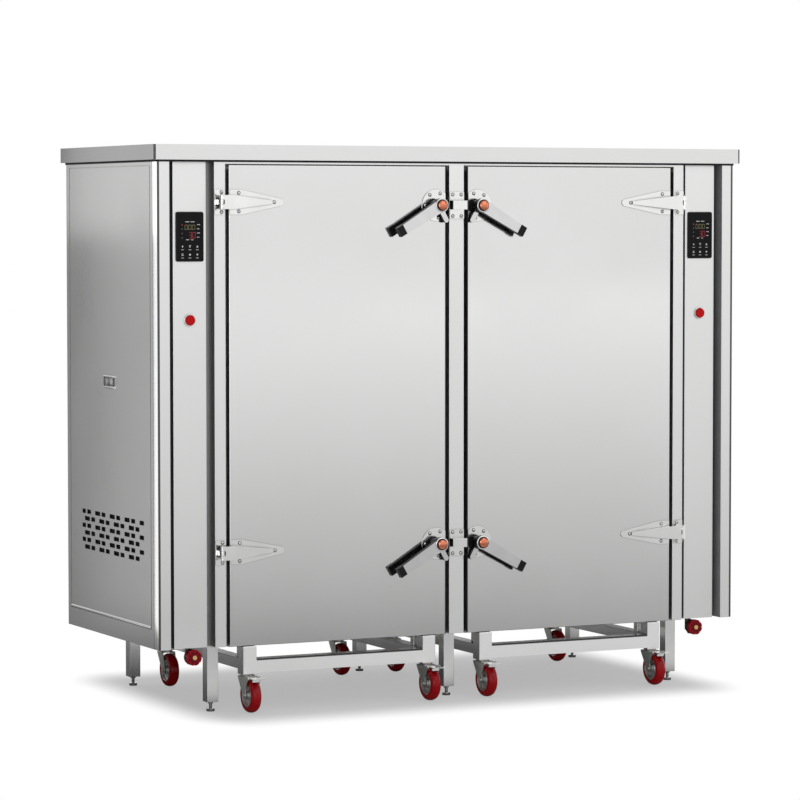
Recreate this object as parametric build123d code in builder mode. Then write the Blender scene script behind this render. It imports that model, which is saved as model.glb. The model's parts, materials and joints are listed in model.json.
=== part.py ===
from build123d import *
import os
from math import cos, radians, sin

os.makedirs("parts", exist_ok=True)

# Double trolley steamer cabinet: a two-bay insulated body on six legs, two doors with strap
# hinges and swing latches, a service column at each end, and a loaded trolley in each bay.
# X runs across the front, the front faces -Y, Z is up from the floor, sizes are millimetres.

# Body
body_width = 2042.0
body_depth = 788.0
body_height = 1502.0
underside = 207.0
sheet = 1.5
cover_height = 47.0
cover_side = 17.0
cover_front = 18.0
cover_back = 10.0
cover_sheet = 2.0
cover_corner = 5.0
cover_rest = 11.0

# Front layout, measured from each end of the body
strip_width = 40.0
groove_width = 18.5
column_width = 110.0
column_recess = 20.0
groove_depth = 50.0
stile_width = 37.0
stile_inset = 187.5
stile_depth = 53.0
stile_wall = 2.0
centre_stile_width = 52.0
header_height = 12.0
landing_width = 25.0
landing_thick = 3.0
landing_lap = 5.0

# Doors
door_gap = 12.0
door_top_gap = 3.0
door_thick = 45.0
door_lap = 1.0
door_return = 20.0
door_open_angle = 165.0
gasket_gap = 0.3
gasket_width = 21.0

# Chamber liner and insulation
liner_top_drop = 48.0
liner_back_space = 50.0
wool_gap = 0.5
core_gap = 1.0

# Cabinet frame and feet
leg_size = 37.0
leg_wall = 2.0
leg_inset = 200.0
rear_leg_depth = 724.7
leg_clear = 30.0
leg_plug = 5.0
rail_height = 40.0
foot_radius = 13.0
foot_height = 9.0
stem_radius = 5.0
stem_length = 45.0
nut_radius = 9.0
nut_height = 6.0
thread_gap = 0.3

# Service opening in each side, with its vents and its finger cup
border_front = 60.0
border_rear = 28.0
border_bottom = 59.0
border_top = 16.0
panel_lap = 12.0
panel_gap = 3.0
vent_front = 120.0
vent_length = 535.0
vent_base = 468.0
vent_rows = 6
vent_row_pitch = 22.8
vent_height = 14.0
vent_pitch = 128.0
vent_long = 45.0
vent_short = 34.0
vent_bridge = 12.0
vent_row_start = -14.0
vent_row_shift = 36.0
vent_least = 12.0
cup_depth = 411.0
cup_height = 1015.5
cup_width = 76.0
cup_tall = 32.0
cup_flange = 5.0
cup_pocket = 14.0
cup_fit = 0.5

# Controls on the columns
display_width = 91.0
display_tall = 152.0
display_height = 1474.0
display_thick = 4.0
display_corner = 6.0
display_body = 26.0
display_border = 9.0
key_radius = 5.0
key_pitch = 25.0
button_height = 1218.0
bezel_radius = 19.0
bezel_thick = 4.0
bezel_wall = 3.0
socket_radius = 17.5
socket_length = 28.0
button_crown = 5.0
button_stem_radius = 6.0
button_travel = 4.0
button_fit = 0.3
panel_fit = 0.5

# Hinges
hinge_pin_inset = 200.5
hinge_pin_reach = 29.0
hinge_upper = 1580.0
hinge_lower = 500.0
leaf_left = 188.5
leaf_width = 30.0
leaf_tall = 77.0
leaf_thick = 3.0
leaf_screw_inset = 210.7
leaf_screw_rise = 30.6
knuckle_radius = 6.0
knuckle_tall = 43.0
leaf_knuckle = 14.0
knuckle_gap = 0.4
pin_radius = 3.0
pin_fit = 0.1
pin_head_radius = 5.0
pin_head = 2.5
strap_start = 2.0
strap_length = 181.0
strap_tall = 76.0
strap_square = 38.0
strap_tip_radius = 11.0
strap_screw_start = 32.0
strap_screw_rise = 28.4
strap_tip_screw = 151.0
rib_end = 38.0
rib_tip_half = 5.0
arm_thick = 8.0

# Swing latches
latch_edge_inset = 35.3
latch_upper = 1571.0
latch_lower = 498.0
base_radius = 50.0
base_thick = 3.0
base_edge = 3.0
base_screw_radius = 40.0
base_screw_angles = (70.0, 125.0, 180.0, 280.0)
post_radius = 7.0
post_fit = 0.1
latch_gap = 0.3
boss_radius = 17.0
boss_thick = 6.0
tongue_thick = 12.0
neck_length = 4.7
tongue_width = 16.0
tongue_reach = 62.0
tongue_angle = -60.0
lever_thick = 18.0
lever_width = 30.0
lever_root = 40.0
lever_length = 172.0
lever_angle = 210.0
lever_wall = 2.5
lever_hollow_start = 30.0
grip_length = 22.0
grip_proud = 1.0
hub_radius = 22.0
cap_radius = 16.0
cap_thick = 5.5
cap_round = 2.0
lever_swing = 60.0

# Latch keepers on the centre stile
keeper_width = 50.0
keeper_tall = 84.0
keeper_thick = 3.0
keeper_reach = 27.0
keeper_lip_top = 15.0
keeper_lip_bottom = -13.0
keeper_screw_pitch = 30.0
keeper_screw_rise = 34.0

# Screws
screw_radius = 2.0
screw_hole = 2.3
screw_head_radius = 4.5
screw_head = 2.5
screw_length = 12.0

# Steam generators with their pipes, and drain valves
tank_inset = 14.0
tank_width = 150.0
tank_front = 130.0
tank_depth = 480.0
tank_lift = 32.0
tank_height = 330.0
tank_wall = 2.0
skid_width = 12.0
element_hole = 48.0
element_flange = 62.0
flange_thick = 6.0
flange_bolts = 6
element_rod = 5.0
element_pitch = 34.0
element_length = 380.0
element_spread = 15.0
pipe_radius = 17.0
pipe_wall = 1.5
pipe_bend = 60.0
pipe_depth = 400.0
pipe_inset = 89.0
pipe_height = 900.0
pipe_entry = 12.0
pipe_fit = 1.0
valve_inset = 124.0
valve_height = 177.0
wheel_front = 16.0
handwheel_radius = 25.0
handwheel_thick = 16.0
handwheel_lobes = 8
handwheel_notch = 4.0
handwheel_nut_radius = 7.0
handwheel_nut = 4.0
valve_stem_radius = 4.0
stem_gap = 0.3
valve_disc_radius = 24.0
valve_disc_thick = 9.0
valve_disc_depth = 36.0
valve_body_radius = 15.0
valve_body_length = 18.0
drain_radius = 10.0
drain_depth = 68.0
drain_elbow = 24.0
drain_wall = 2.0
drain_branch = 9.0
drain_cap = 12.0
drain_cap_thick = 3.0
outlet_radius = 8.0
outlet_wall = 2.0
outlet_offset = 9.0
outlet_length = 24.0

# Trolleys
trolley_setback = 14.5
trolley_leg_pitch = 620.0
trolley_leg_depth = 668.0
trolley_tube = 45.0
trolley_leg_bottom = 120.0
trolley_leg_top = 200.0
trolley_head_gap = 1.5
end_rail_bottom = 122.0
end_rail_top = 165.5
side_rail_bottom = 133.0
post_inset = 18.0
pan_thick = 3.0
pan_side_gap = 2.0
pan_front = 46.0
pan_rear_gap = 0.3
pan_rim = 37.0
pan_wall = 2.0
rack_tube = 25.0
rack_front = 62.0
rack_depth = 654.0
rack_height = 1412.0
tiers = 9
first_tier = 300.0
tier_pitch = 150.0
runner_width = 22.0
runner_thick = 2.0
tray_side_gap = 3.0
tray_end_gap = 12.0
tray_height = 25.0
tray_wall = 1.5

# Casters
wheel_radius = 54.0
tyre_width = 32.0
tread_side_radius = 46.0
hub_ring_radius = 35.0
hub_width = 34.0
hub_web = 10.0
hub_boss_radius = 13.0
caster_trail = 28.0
axle_radius = 4.0
axle_fit = 0.1
axle_head_radius = 7.0
axle_head = 4.0
fork_gap = 19.5
fork_thick = 3.0
fork_crown_back = 22.0
fork_crown_front = 24.0
crown_bottom = 109.4
crown_thick = 2.6
axle_boss = 13.0
race_radius = 20.0
race_gap = 0.3
plate_thick = 3.0
pedal_pivot_reach = 52.0
pedal_pivot_height = 108.5
pedal_reach = 100.0
pedal_width = 34.0
pedal_toe_width = 44.0
pedal_toe = 26.0
pedal_thick = 2.5
pedal_top = 112.5
pedal_barrel = 4.0
pedal_pin = 2.0
pedal_side_gap = 0.5
ear_radius = 6.0
pad_start = 62.0
pad_length = 8.0
pad_width = 24.0
pad_bottom = 99.0
pedal_press = 8.0

# Planes and lines worked out from the sizes above
half = body_width / 2
cover_z = underside + body_height
front_reach = pedal_reach - trolley_setback
front_y = front_reach - (front_reach + body_depth + cover_back) / 2
back_y = front_y + body_depth
column_outer = half - strip_width - groove_width
column_inner = column_outer - column_width
stile_outer = half - stile_inset
stile_inner = stile_outer - stile_width
centre_half = centre_stile_width / 2
door_outer = stile_inner - door_gap
door_inner = centre_half + door_gap
header_z = cover_z - header_height
door_top = header_z - door_top_gap
landing_y = front_y + stile_depth
liner_front = landing_y + landing_thick
liner_back = back_y - liner_back_space
liner_outer = stile_inner - landing_width
liner_inner = centre_half + landing_width
liner_top = cover_z - liner_top_drop
leg_x = half - leg_inset
front_leg_y = landing_y + leg_size / 2
rear_leg_y = front_y + rear_leg_depth
rail_top = underside + rail_height
rear_rail_y = back_y - sheet - leg_size
column_y = front_y + column_recess
groove_y = front_y + groove_depth
hinge_x = half - hinge_pin_inset
hinge_y = front_y - hinge_pin_reach
latch_x = door_inner + latch_edge_inset
bay_centre = (stile_inner + centre_half) / 2
control_x = (column_outer + column_inner) / 2
swivel_front_y = front_y + trolley_setback
swivel_rear_y = swivel_front_y + trolley_leg_depth
tank_bottom = underside + tank_lift
tank_top = tank_bottom + tank_height
tank_outer_x = half - tank_inset
tank_inner_x = tank_outer_x - tank_width
tank_front_y = front_y + tank_front
pipe_x = half - pipe_inset
pipe_y = front_y + pipe_depth
valve_x = half - valve_inset
hinge_heights = (hinge_upper, hinge_lower)
latch_heights = (latch_upper, latch_lower)
sides = (("left", -1), ("right", 1))


def slab(x0, x1, y0, y1, z0, z1, mode=Mode.ADD):
    """A box between two corners, given as the low and high value along each axis."""
    with Locations(((x0 + x1) / 2, (y0 + y1) / 2, (z0 + z1) / 2)):
        Box(abs(x1 - x0), abs(y1 - y0), abs(z1 - z0), mode=mode)


def rod_x(y, z, radius, x0, x1, mode=Mode.ADD):
    """A round bar along X."""
    with Locations(((x0 + x1) / 2, y, z)):
        Cylinder(radius, abs(x1 - x0), rotation=(0, 90, 0), mode=mode)


def rod_y(x, z, radius, y0, y1, mode=Mode.ADD):
    """A round bar along Y."""
    with Locations((x, (y0 + y1) / 2, z)):
        Cylinder(radius, abs(y1 - y0), rotation=(90, 0, 0), mode=mode)


def rod_z(x, y, radius, z0, z1, mode=Mode.ADD):
    """A round bar along Z."""
    with Locations((x, y, (z0 + z1) / 2)):
        Cylinder(radius, abs(z1 - z0), mode=mode)


def front_plane(y):
    """A plane facing the front at y, whose X is the part's X and whose Y is the part's Z."""
    return Plane(origin=(0, y, 0), x_dir=(1, 0, 0), z_dir=(0, -1, 0))


def front_screw(x, z, seat_y):
    """A pan head screw driven in from the front, its head on the plane seat_y."""
    rod_y(x, z, screw_head_radius, seat_y - screw_head, seat_y)
    rod_y(x, z, screw_radius, seat_y, seat_y + screw_length)


def save(builder, label):
    """Name the finished piece and write it to its file."""
    builder.part.label = label
    export_step(builder.part, f"parts/{label}.step")


# Screw places, as distances from the body's centre line and heights
leaf_screws = []
strap_screws = []
for height in hinge_heights:
    for rise in (-leaf_screw_rise, leaf_screw_rise):
        leaf_screws.append((half - leaf_screw_inset, height + rise))
    for rise in (-strap_screw_rise, strap_screw_rise):
        strap_screws.append((door_outer - strap_screw_start, height + rise))
    strap_screws.append((door_outer - strap_tip_screw, height))
base_screws = []
keeper_screws = []
for height in latch_heights:
    for angle in base_screw_angles:
        around = radians(angle)
        reach = base_screw_radius * cos(around)
        base_screws.append((latch_x - reach, height + base_screw_radius * sin(around)))
    for rise in (-keeper_screw_rise, keeper_screw_rise):
        keeper_screws.append((keeper_screw_pitch / 2, height + rise))
        keeper_screws.append((-keeper_screw_pitch / 2, height + rise))


# Top cover: a folded pan with a lip turned in underneath, which rests on the body
cover_width = body_width + 2 * cover_side
cover_depth = cover_front + body_depth + cover_back
cover_y = front_y - cover_front + cover_depth / 2
cover_top = cover_z + cover_height
with BuildPart() as top_cover:
    with BuildSketch(Plane.XY.offset(cover_z)):
        with Locations((0, cover_y)):
            RectangleRounded(cover_width, cover_depth, cover_corner)
    extrude(amount=cover_height)
    with BuildSketch(Plane.XY.offset(cover_z + cover_sheet)):
        with Locations((0, cover_y)):
            RectangleRounded(cover_width - 2 * cover_sheet, cover_depth - 2 * cover_sheet,
                             cover_corner - cover_sheet)
    extrude(amount=cover_height - 2 * cover_sheet, mode=Mode.SUBTRACT)
    slab(-half + cover_rest, half - cover_rest, front_y + cover_rest, back_y - cover_rest,
         cover_z - 1, cover_z + cover_sheet, Mode.SUBTRACT)
save(top_cover, "top_cover")


# Side panels: skin, front strip with its return, and the floor of the service compartment
open_front = front_y + border_front
open_back = back_y - border_rear
open_bottom = underside + border_bottom
open_top = cover_z - border_top
floor_inner = leg_x + leg_size / 2 + sheet
drain_y = front_y + drain_depth
with BuildPart() as side_panels:
    for name, sign in sides:
        slab(sign * half, sign * (half - sheet), front_y, back_y, underside, cover_z)
        slab(sign * half, sign * (half - strip_width), front_y, front_y + sheet,
             underside, cover_z)
        slab(sign * (half - strip_width), sign * (half - strip_width + sheet), front_y,
             groove_y, underside, cover_z)
        slab(sign * half, sign * floor_inner, groove_y + sheet, back_y - sheet,
             underside, underside + sheet)
        slab(sign * (half + 1), sign * (half - sheet - 1), open_front, open_back,
             open_bottom, open_top, Mode.SUBTRACT)
        rod_z(sign * valve_x, drain_y, drain_radius + pipe_fit, underside - 1,
              underside + sheet + 1, Mode.SUBTRACT)
save(side_panels, "side_panels")


def vent_slots():
    """Centre depth, centre height and length of each vent slot, clipped to the field."""
    slots = []
    for row in range(vent_rows):
        start = vent_row_start + vent_row_shift * ((row + 1) % 2)
        height = vent_base + vent_height / 2 + row * vent_row_pitch
        while start < vent_length:
            short_start = start + vent_long + vent_bridge
            for low, length in ((start, vent_long), (short_start, vent_short)):
                first = max(low, 0)
                last = min(low + length, vent_length)
                if last - first >= vent_least:
                    middle = vent_front + vent_length - (first + last) / 2
                    slots.append((middle, height, last - first))
            start += vent_pitch
    return slots


# Service panels: a lapped plate with a raised field flush with the skin, vents and a cup
with BuildPart() as service_panels:
    for name, sign in sides:
        slab(sign * (half - sheet), sign * (half - 2 * sheet), open_front - panel_lap,
             open_back + panel_lap, open_bottom - panel_lap, open_top + panel_lap)
        slab(sign * half, sign * (half - sheet), open_front + panel_gap,
             open_back - panel_gap, open_bottom + panel_gap, open_top - panel_gap)
        with BuildSketch(Plane.YZ.offset(sign * half - 2 * sheet - 1)):
            for depth, height, length in vent_slots():
                with Locations((front_y + depth, height)):
                    RectangleRounded(length, vent_height, vent_height / 4)
            with Locations((front_y + cup_depth, cup_height)):
                Rectangle(cup_width, cup_tall)
        extrude(amount=4 * sheet + 2, mode=Mode.SUBTRACT)
        cup_back = half - cup_pocket
        cup_y = front_y + cup_depth
        mouth = cup_width / 2 - cup_fit
        rise = cup_tall / 2 - cup_fit
        wall = cup_fit + sheet
        slab(sign * half, sign * (half + sheet), cup_y - mouth - cup_flange,
             cup_y + mouth + cup_flange, cup_height - rise - cup_flange,
             cup_height + rise + cup_flange)
        slab(sign * half, sign * cup_back, cup_y - mouth, cup_y + mouth,
             cup_height - rise, cup_height + rise)
        slab(sign * (half + sheet + 1), sign * (cup_back + sheet), cup_y - mouth + wall,
             cup_y + mouth - wall, cup_height - rise + wall, cup_height + rise - wall,
             Mode.SUBTRACT)
save(service_panels, "service_panels")


# Rear panel
with BuildPart() as rear_panel:
    slab(-half + sheet, half - sheet, back_y - sheet, back_y, underside, cover_z)
save(rear_panel, "rear_panel")


# Base frame: six legs, three rails from front to back and one rail along the rear
with BuildPart() as base_frame:
    for x in (-leg_x, 0, leg_x):
        for y in (front_leg_y, rear_leg_y):
            slab(x - leg_size / 2, x + leg_size / 2, y - leg_size / 2, y + leg_size / 2,
                 leg_clear, rail_top)
        slab(x - leg_size / 2, x + leg_size / 2, landing_y, back_y - sheet,
             underside, rail_top)
    slab(-leg_x, leg_x, rear_rail_y, back_y - sheet, underside, rail_top)
    hollow = leg_size / 2 - leg_wall
    for x in (-leg_x, 0, leg_x):
        for y in (front_leg_y, rear_leg_y):
            slab(x - hollow, x + hollow, y - hollow, y + hollow, leg_clear + leg_plug,
                 rail_top + 1, Mode.SUBTRACT)
            rod_z(x, y, stem_radius + thread_gap, leg_clear - 1, leg_clear + leg_plug + 1,
                  Mode.SUBTRACT)
save(base_frame, "base_frame")


# Levelling feet: pad, stem and lock nut of each leg
with BuildPart() as levelling_feet:
    for x in (-leg_x, 0, leg_x):
        for y in (front_leg_y, rear_leg_y):
            rod_z(x, y, foot_radius, 0, foot_height)
            rod_z(x, y, stem_radius, foot_height, foot_height + stem_length)
            with BuildSketch(Plane.XY.offset(leg_clear - nut_height)):
                with Locations((x, y)):
                    RegularPolygon(nut_radius, 6)
            extrude(amount=nut_height)
save(levelling_feet, "levelling_feet")


# Front frame: the stiles, the header over the doors and the landings that the seals sit on
with BuildPart() as front_frame:
    stiles = ((-stile_outer, -stile_inner), (-centre_half, centre_half),
              (stile_inner, stile_outer))
    for left, right in stiles:
        slab(left, right, front_y, landing_y, underside, cover_z)
    for sign in (-1, 1):
        slab(sign * stile_inner, sign * centre_half, front_y, landing_y, header_z, cover_z)
        slab(sign * (stile_inner + landing_lap), sign * (centre_half - landing_lap),
             landing_y, liner_front, underside, cover_z)
        slab(sign * liner_outer, sign * liner_inner, landing_y - 1, liner_front + 1,
             underside - 1, liner_top, Mode.SUBTRACT)
    for left, right in stiles:
        slab(left + stile_wall, right - stile_wall, front_y + stile_wall,
             landing_y - stile_wall, underside - 1, cover_z - stile_wall, Mode.SUBTRACT)
    for x, z in leaf_screws:
        for sign in (-1, 1):
            rod_y(sign * x, z, screw_hole, front_y - 1, front_y + stile_wall + 1,
                  Mode.SUBTRACT)
    for x, z in keeper_screws:
        rod_y(x, z, screw_hole, front_y - 1, front_y + stile_wall + 1, Mode.SUBTRACT)
save(front_frame, "front_frame")


# Control columns: a hat section whose flanges close the grooves beside it
with BuildPart() as control_columns:
    for name, sign in sides:
        slab(sign * column_outer, sign * column_inner, column_y, column_y + sheet,
             underside, cover_z)
        for edge, step in ((column_outer, -sheet), (column_inner, sheet)):
            slab(sign * edge, sign * (edge + step), column_y, groove_y, underside, cover_z)
        slab(sign * (half - strip_width + sheet), sign * (column_outer - sheet), groove_y,
             groove_y + sheet, underside, cover_z)
        slab(sign * (column_inner + sheet), sign * stile_outer, groove_y,
             groove_y + sheet, underside, cover_z)
        cut_x = display_width / 2 - display_border
        cut_z = display_tall / 2 - display_border
        slab(sign * control_x - cut_x, sign * control_x + cut_x, column_y - 1,
             column_y + sheet + 1, display_height - cut_z, display_height + cut_z,
             Mode.SUBTRACT)
        rod_y(sign * control_x, button_height, socket_radius + panel_fit, column_y - 1,
              column_y + sheet + 1, Mode.SUBTRACT)
save(control_columns, "control_columns")


# Displays: a rounded front plate with two windows and six keys, on a body behind it
with BuildPart() as control_displays:
    for name, sign in sides:
        with BuildSketch(front_plane(column_y)):
            with Locations((sign * control_x, display_height)):
                RectangleRounded(display_width, display_tall, display_corner)
        extrude(amount=display_thick)
        body_x = display_width / 2 - display_border - panel_fit
        body_z = display_tall / 2 - display_border - panel_fit
        slab(sign * control_x - body_x, sign * control_x + body_x, column_y,
             column_y + display_body, display_height - body_z, display_height + body_z)
        with BuildSketch(front_plane(column_y - display_thick)):
            for row in (0, 1):
                for column in (-1, 0, 1):
                    key_x = sign * control_x + column * key_pitch
                    key_z = display_height - key_pitch * (row + 1.2)
                    with Locations((key_x, key_z)):
                        Circle(key_radius)
        extrude(amount=-sheet / 2, mode=Mode.SUBTRACT)
save(control_displays, "control_displays")


# Button housings: a bezel in front of the column and a socket behind it
button_back = column_y + socket_length
with BuildPart() as button_housings:
    for name, sign in sides:
        x = sign * control_x
        rod_y(x, button_height, bezel_radius, column_y - bezel_thick, column_y)
        rod_y(x, button_height, socket_radius, column_y, button_back)
        rod_y(x, button_height, bezel_radius - bezel_wall, column_y - bezel_thick - 1,
              button_back - bezel_wall, Mode.SUBTRACT)
        rod_y(x, button_height, button_stem_radius + button_fit,
              button_back - bezel_wall - 1, button_back + 1, Mode.SUBTRACT)
save(button_housings, "button_housings")


# Push buttons: a domed head guided by a stem in the back of the socket
button_radius = bezel_radius - bezel_wall - button_fit
button_front = column_y - bezel_thick - button_crown
for name, sign in sides:
    with BuildPart() as push_button:
        rod_y(sign * control_x, button_height, button_radius, button_front, column_y)
        fillet(push_button.edges().sort_by(Axis.Y)[0], button_crown / 2)
        rod_y(sign * control_x, button_height, button_stem_radius, column_y,
              button_back + button_travel)
    save(push_button, f"{name}_push_button")


# Chamber liners: open at the front and below, with a hole for the steam pipe, and flanges
# at the foot that close the insulation's space from below
with BuildPart() as chamber_liners:
    for name, sign in sides:
        slab(sign * (liner_outer + sheet), sign * (liner_inner - sheet), liner_front,
             liner_back + sheet, underside, liner_top + sheet)
        slab(sign * (leg_x - leg_size / 2), sign * leg_size / 2, liner_front,
             rear_rail_y, underside, underside + sheet)
        slab(sign * liner_outer, sign * liner_inner, liner_front - 1, liner_back,
             underside - 1, liner_top, Mode.SUBTRACT)
        rod_x(pipe_y, pipe_height, pipe_radius + pipe_fit, sign * (liner_outer - 1),
              sign * (liner_outer + sheet + 1), Mode.SUBTRACT)
save(chamber_liners, "chamber_liners")


# Insulation: slabs outside the liners, over them, behind them and between them
wool_outer = stile_inner - sheet
wool_front = liner_front + wool_gap
wool_back = back_y - sheet - wool_gap
wool_top = cover_top - cover_sheet - core_gap
wool_low = underside + sheet + wool_gap
with BuildPart() as insulation:
    core = liner_inner - sheet - wool_gap
    slab(-core, core, wool_front, liner_back, wool_low, liner_top)
    for name, sign in sides:
        slab(sign * wool_outer, sign * (liner_outer + sheet + wool_gap), wool_front,
             liner_back, wool_low, liner_top)
        rod_x(pipe_y, pipe_height, pipe_radius + pipe_fit, sign * (liner_outer - 1),
              sign * (wool_outer + 1), Mode.SUBTRACT)
        slab(sign * liner_outer, sign * liner_inner, liner_back + sheet + wool_gap,
             wool_back, wool_low, liner_top)
        slab(sign * liner_outer, sign * liner_inner, wool_front,
             back_y - cover_rest - wool_gap, liner_top + sheet + wool_gap, wool_top)
    slab(-leg_size / 2 - wool_gap, leg_size / 2 + wool_gap, front_y, back_y,
         underside, rail_top + wool_gap, Mode.SUBTRACT)
    slab(-leg_x, leg_x, rear_rail_y - wool_gap, back_y, underside,
         rail_top + wool_gap, Mode.SUBTRACT)
save(insulation, "insulation")


# Door seals: an inverted U of soft profile on each bay's landings
seal_front = front_y + door_thick + gasket_gap
seal_outer = liner_outer + gasket_width
seal_inner = liner_inner - gasket_width
with BuildPart() as door_gaskets:
    for name, sign in sides:
        slab(sign * seal_outer, sign * seal_inner, seal_front, landing_y, underside,
             liner_top + gasket_width)
        slab(sign * liner_outer, sign * liner_inner, seal_front - 1, landing_y + 1,
             underside - 1, liner_top, Mode.SUBTRACT)
save(door_gaskets, "door_gaskets")


# Doors: a folded outer skin and an inner pan that closes its back
door_back = front_y + door_thick
screw_points = strap_screws + base_screws
for name, sign in sides:
    with BuildPart() as door_skin:
        slab(sign * door_outer, sign * door_inner, front_y, door_back - sheet,
             underside, door_top)
        slab(sign * (door_outer - sheet), sign * (door_inner + sheet), front_y + sheet,
             door_back, underside + sheet, door_top - sheet, Mode.SUBTRACT)
        for x, z in screw_points:
            rod_y(sign * x, z, screw_hole, front_y - 1, front_y + sheet + 1,
                  Mode.SUBTRACT)
    save(door_skin, f"{name}_door_skin")
    with BuildPart() as door_pan:
        slab(sign * door_outer, sign * door_inner, door_back - sheet, door_back,
             underside, door_top)
        inset = sheet + door_lap
        slab(sign * (door_outer - inset), sign * (door_inner + inset),
             door_back - door_return, door_back - sheet, underside + inset,
             door_top - inset)
        inset = 2 * sheet + door_lap
        slab(sign * (door_outer - inset), sign * (door_inner + inset),
             door_back - door_return - 1, door_back - sheet, underside + inset,
             door_top - inset, Mode.SUBTRACT)
    save(door_pan, f"{name}_door_inner_pan")


# Hinge leaves: a plate on the stile and a web that carries the pin, with the pin in it
with BuildPart() as hinge_leaves:
    for name, sign in sides:
        for height in hinge_heights:
            leaf_x = half - leaf_left
            slab(sign * leaf_x, sign * (leaf_x - leaf_width), front_y - leaf_thick,
                 front_y, height - leaf_tall / 2, height + leaf_tall / 2)
            slab(sign * hinge_x - knuckle_radius, sign * hinge_x + knuckle_radius,
                 hinge_y, front_y - leaf_thick, height - leaf_knuckle / 2,
                 height + leaf_knuckle / 2)
            rod_z(sign * hinge_x, hinge_y, knuckle_radius, height - leaf_knuckle / 2,
                  height + leaf_knuckle / 2)
            rod_z(sign * hinge_x, hinge_y, pin_radius, height - leaf_tall / 2,
                  height + leaf_tall / 2, Mode.SUBTRACT)
        for x, z in leaf_screws:
            rod_y(sign * x, z, screw_hole, front_y - leaf_thick - 1, front_y + 1,
                  Mode.SUBTRACT)
save(hinge_leaves, "hinge_leaves")


# Hinge pins, headed at both ends
pin_half = knuckle_tall / 2 + knuckle_gap
with BuildPart() as hinge_pins:
    for name, sign in sides:
        for height in hinge_heights:
            rod_z(sign * hinge_x, hinge_y, pin_radius, height - pin_half,
                  height + pin_half)
            for end in (-1, 1):
                rod_z(sign * hinge_x, hinge_y, pin_head_radius,
                      height + end * pin_half, height + end * (pin_half + pin_head))
save(hinge_pins, "hinge_pins")


# Hinge straps: a tapered foot on the door, and a rib that rises to the knuckles
rib_start = door_outer - strap_start
strap_tip = rib_start - strap_length
rib_low = strap_tip + rib_end
rib_half = knuckle_tall / 2
strap_face = front_y - leaf_thick
for name, sign in sides:
    with BuildPart() as hinge_straps:
        for height in hinge_heights:
            with BuildSketch(front_plane(front_y)):
                with BuildLine():
                    Polyline((sign * rib_start, height - strap_tall / 2),
                             (sign * (rib_start - strap_square), height - strap_tall / 2),
                             (sign * (strap_tip + strap_tip_radius),
                              height - strap_tip_radius),
                             (sign * (strap_tip + strap_tip_radius),
                              height + strap_tip_radius),
                             (sign * (rib_start - strap_square), height + strap_tall / 2),
                             (sign * rib_start, height + strap_tall / 2), close=True)
                make_face()
                with Locations((sign * (strap_tip + strap_tip_radius), height)):
                    Circle(strap_tip_radius)
            extrude(amount=leaf_thick)
            with BuildSketch(front_plane(strap_face)):
                with BuildLine():
                    Polyline((sign * rib_start, height - rib_half),
                             (sign * rib_low, height - rib_tip_half),
                             (sign * rib_low, height + rib_tip_half),
                             (sign * rib_start, height + rib_half), close=True)
                make_face()
            extrude(amount=hinge_pin_reach + arm_thick / 2 - leaf_thick)
            with BuildSketch(Plane.XY.offset(height - strap_tall)):
                with BuildLine():
                    Polyline((sign * (rib_start + 1), hinge_y - arm_thick / 2),
                             (sign * (rib_low - 1), strap_face - leaf_thick),
                             (sign * (rib_low - 1), hinge_y - arm_thick),
                             (sign * (rib_start + 1), hinge_y - arm_thick), close=True)
                make_face()
            extrude(amount=2 * strap_tall, mode=Mode.SUBTRACT)
            slab(sign * hinge_x, sign * rib_start, hinge_y - arm_thick / 2,
                 hinge_y + arm_thick / 2, height - rib_half, height + rib_half)
            rod_z(sign * hinge_x, hinge_y, knuckle_radius, height - rib_half,
                  height + rib_half)
            clear = leaf_knuckle / 2 + knuckle_gap
            slab(sign * (hinge_x + knuckle_radius + 1),
                 sign * (hinge_x - knuckle_radius - knuckle_gap - 2),
                 hinge_y - arm_thick, hinge_y + arm_thick, height - clear,
                 height + clear, Mode.SUBTRACT)
            rod_z(sign * hinge_x, hinge_y, pin_radius + pin_fit, height - strap_tall,
                  height + strap_tall, Mode.SUBTRACT)
        for x, z in strap_screws:
            rod_y(sign * x, z, screw_hole, strap_face - 1, front_y + 1, Mode.SUBTRACT)
    save(hinge_straps, f"{name}_hinge_straps")


# Latch bases: a plate trimmed at the door's edge, a post, and the cap that ends the post
tongue_back = front_y - base_thick - boss_thick - latch_gap
lever_back = tongue_back - tongue_thick - neck_length
lever_front = lever_back - lever_thick
post_end = lever_front - latch_gap
for name, sign in sides:
    with BuildPart() as latch_bases:
        for height in latch_heights:
            rod_y(sign * latch_x, height, base_radius, front_y - base_thick, front_y)
            slab(sign * (door_inner + base_edge), 0, front_y - base_thick - 1,
                 front_y + 1, height - base_radius, height + base_radius, Mode.SUBTRACT)
            rod_y(sign * latch_x, height, boss_radius, front_y - base_thick - boss_thick,
                  front_y - base_thick)
            rod_y(sign * latch_x, height, post_radius, post_end,
                  front_y - base_thick - boss_thick)
            rod_y(sign * latch_x, height, cap_radius, post_end - cap_thick, post_end)
        cap_edges = latch_bases.edges().filter_by(GeomType.CIRCLE).group_by(Axis.Y)[0]
        fillet(cap_edges, cap_round)
        for x, z in base_screws:
            rod_y(sign * x, z, screw_hole, front_y - base_thick - 1, front_y + 1,
                  Mode.SUBTRACT)
    save(latch_bases, f"{name}_latch_bases")


def lever_point(sign, height, along, across, angle):
    """A point beside a line that leaves the latch post at an angle, in the front view."""
    turn = radians(angle)
    x = latch_x - along * cos(turn) + across * sin(turn)
    return (sign * x, height + along * sin(turn) + across * cos(turn))


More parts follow.
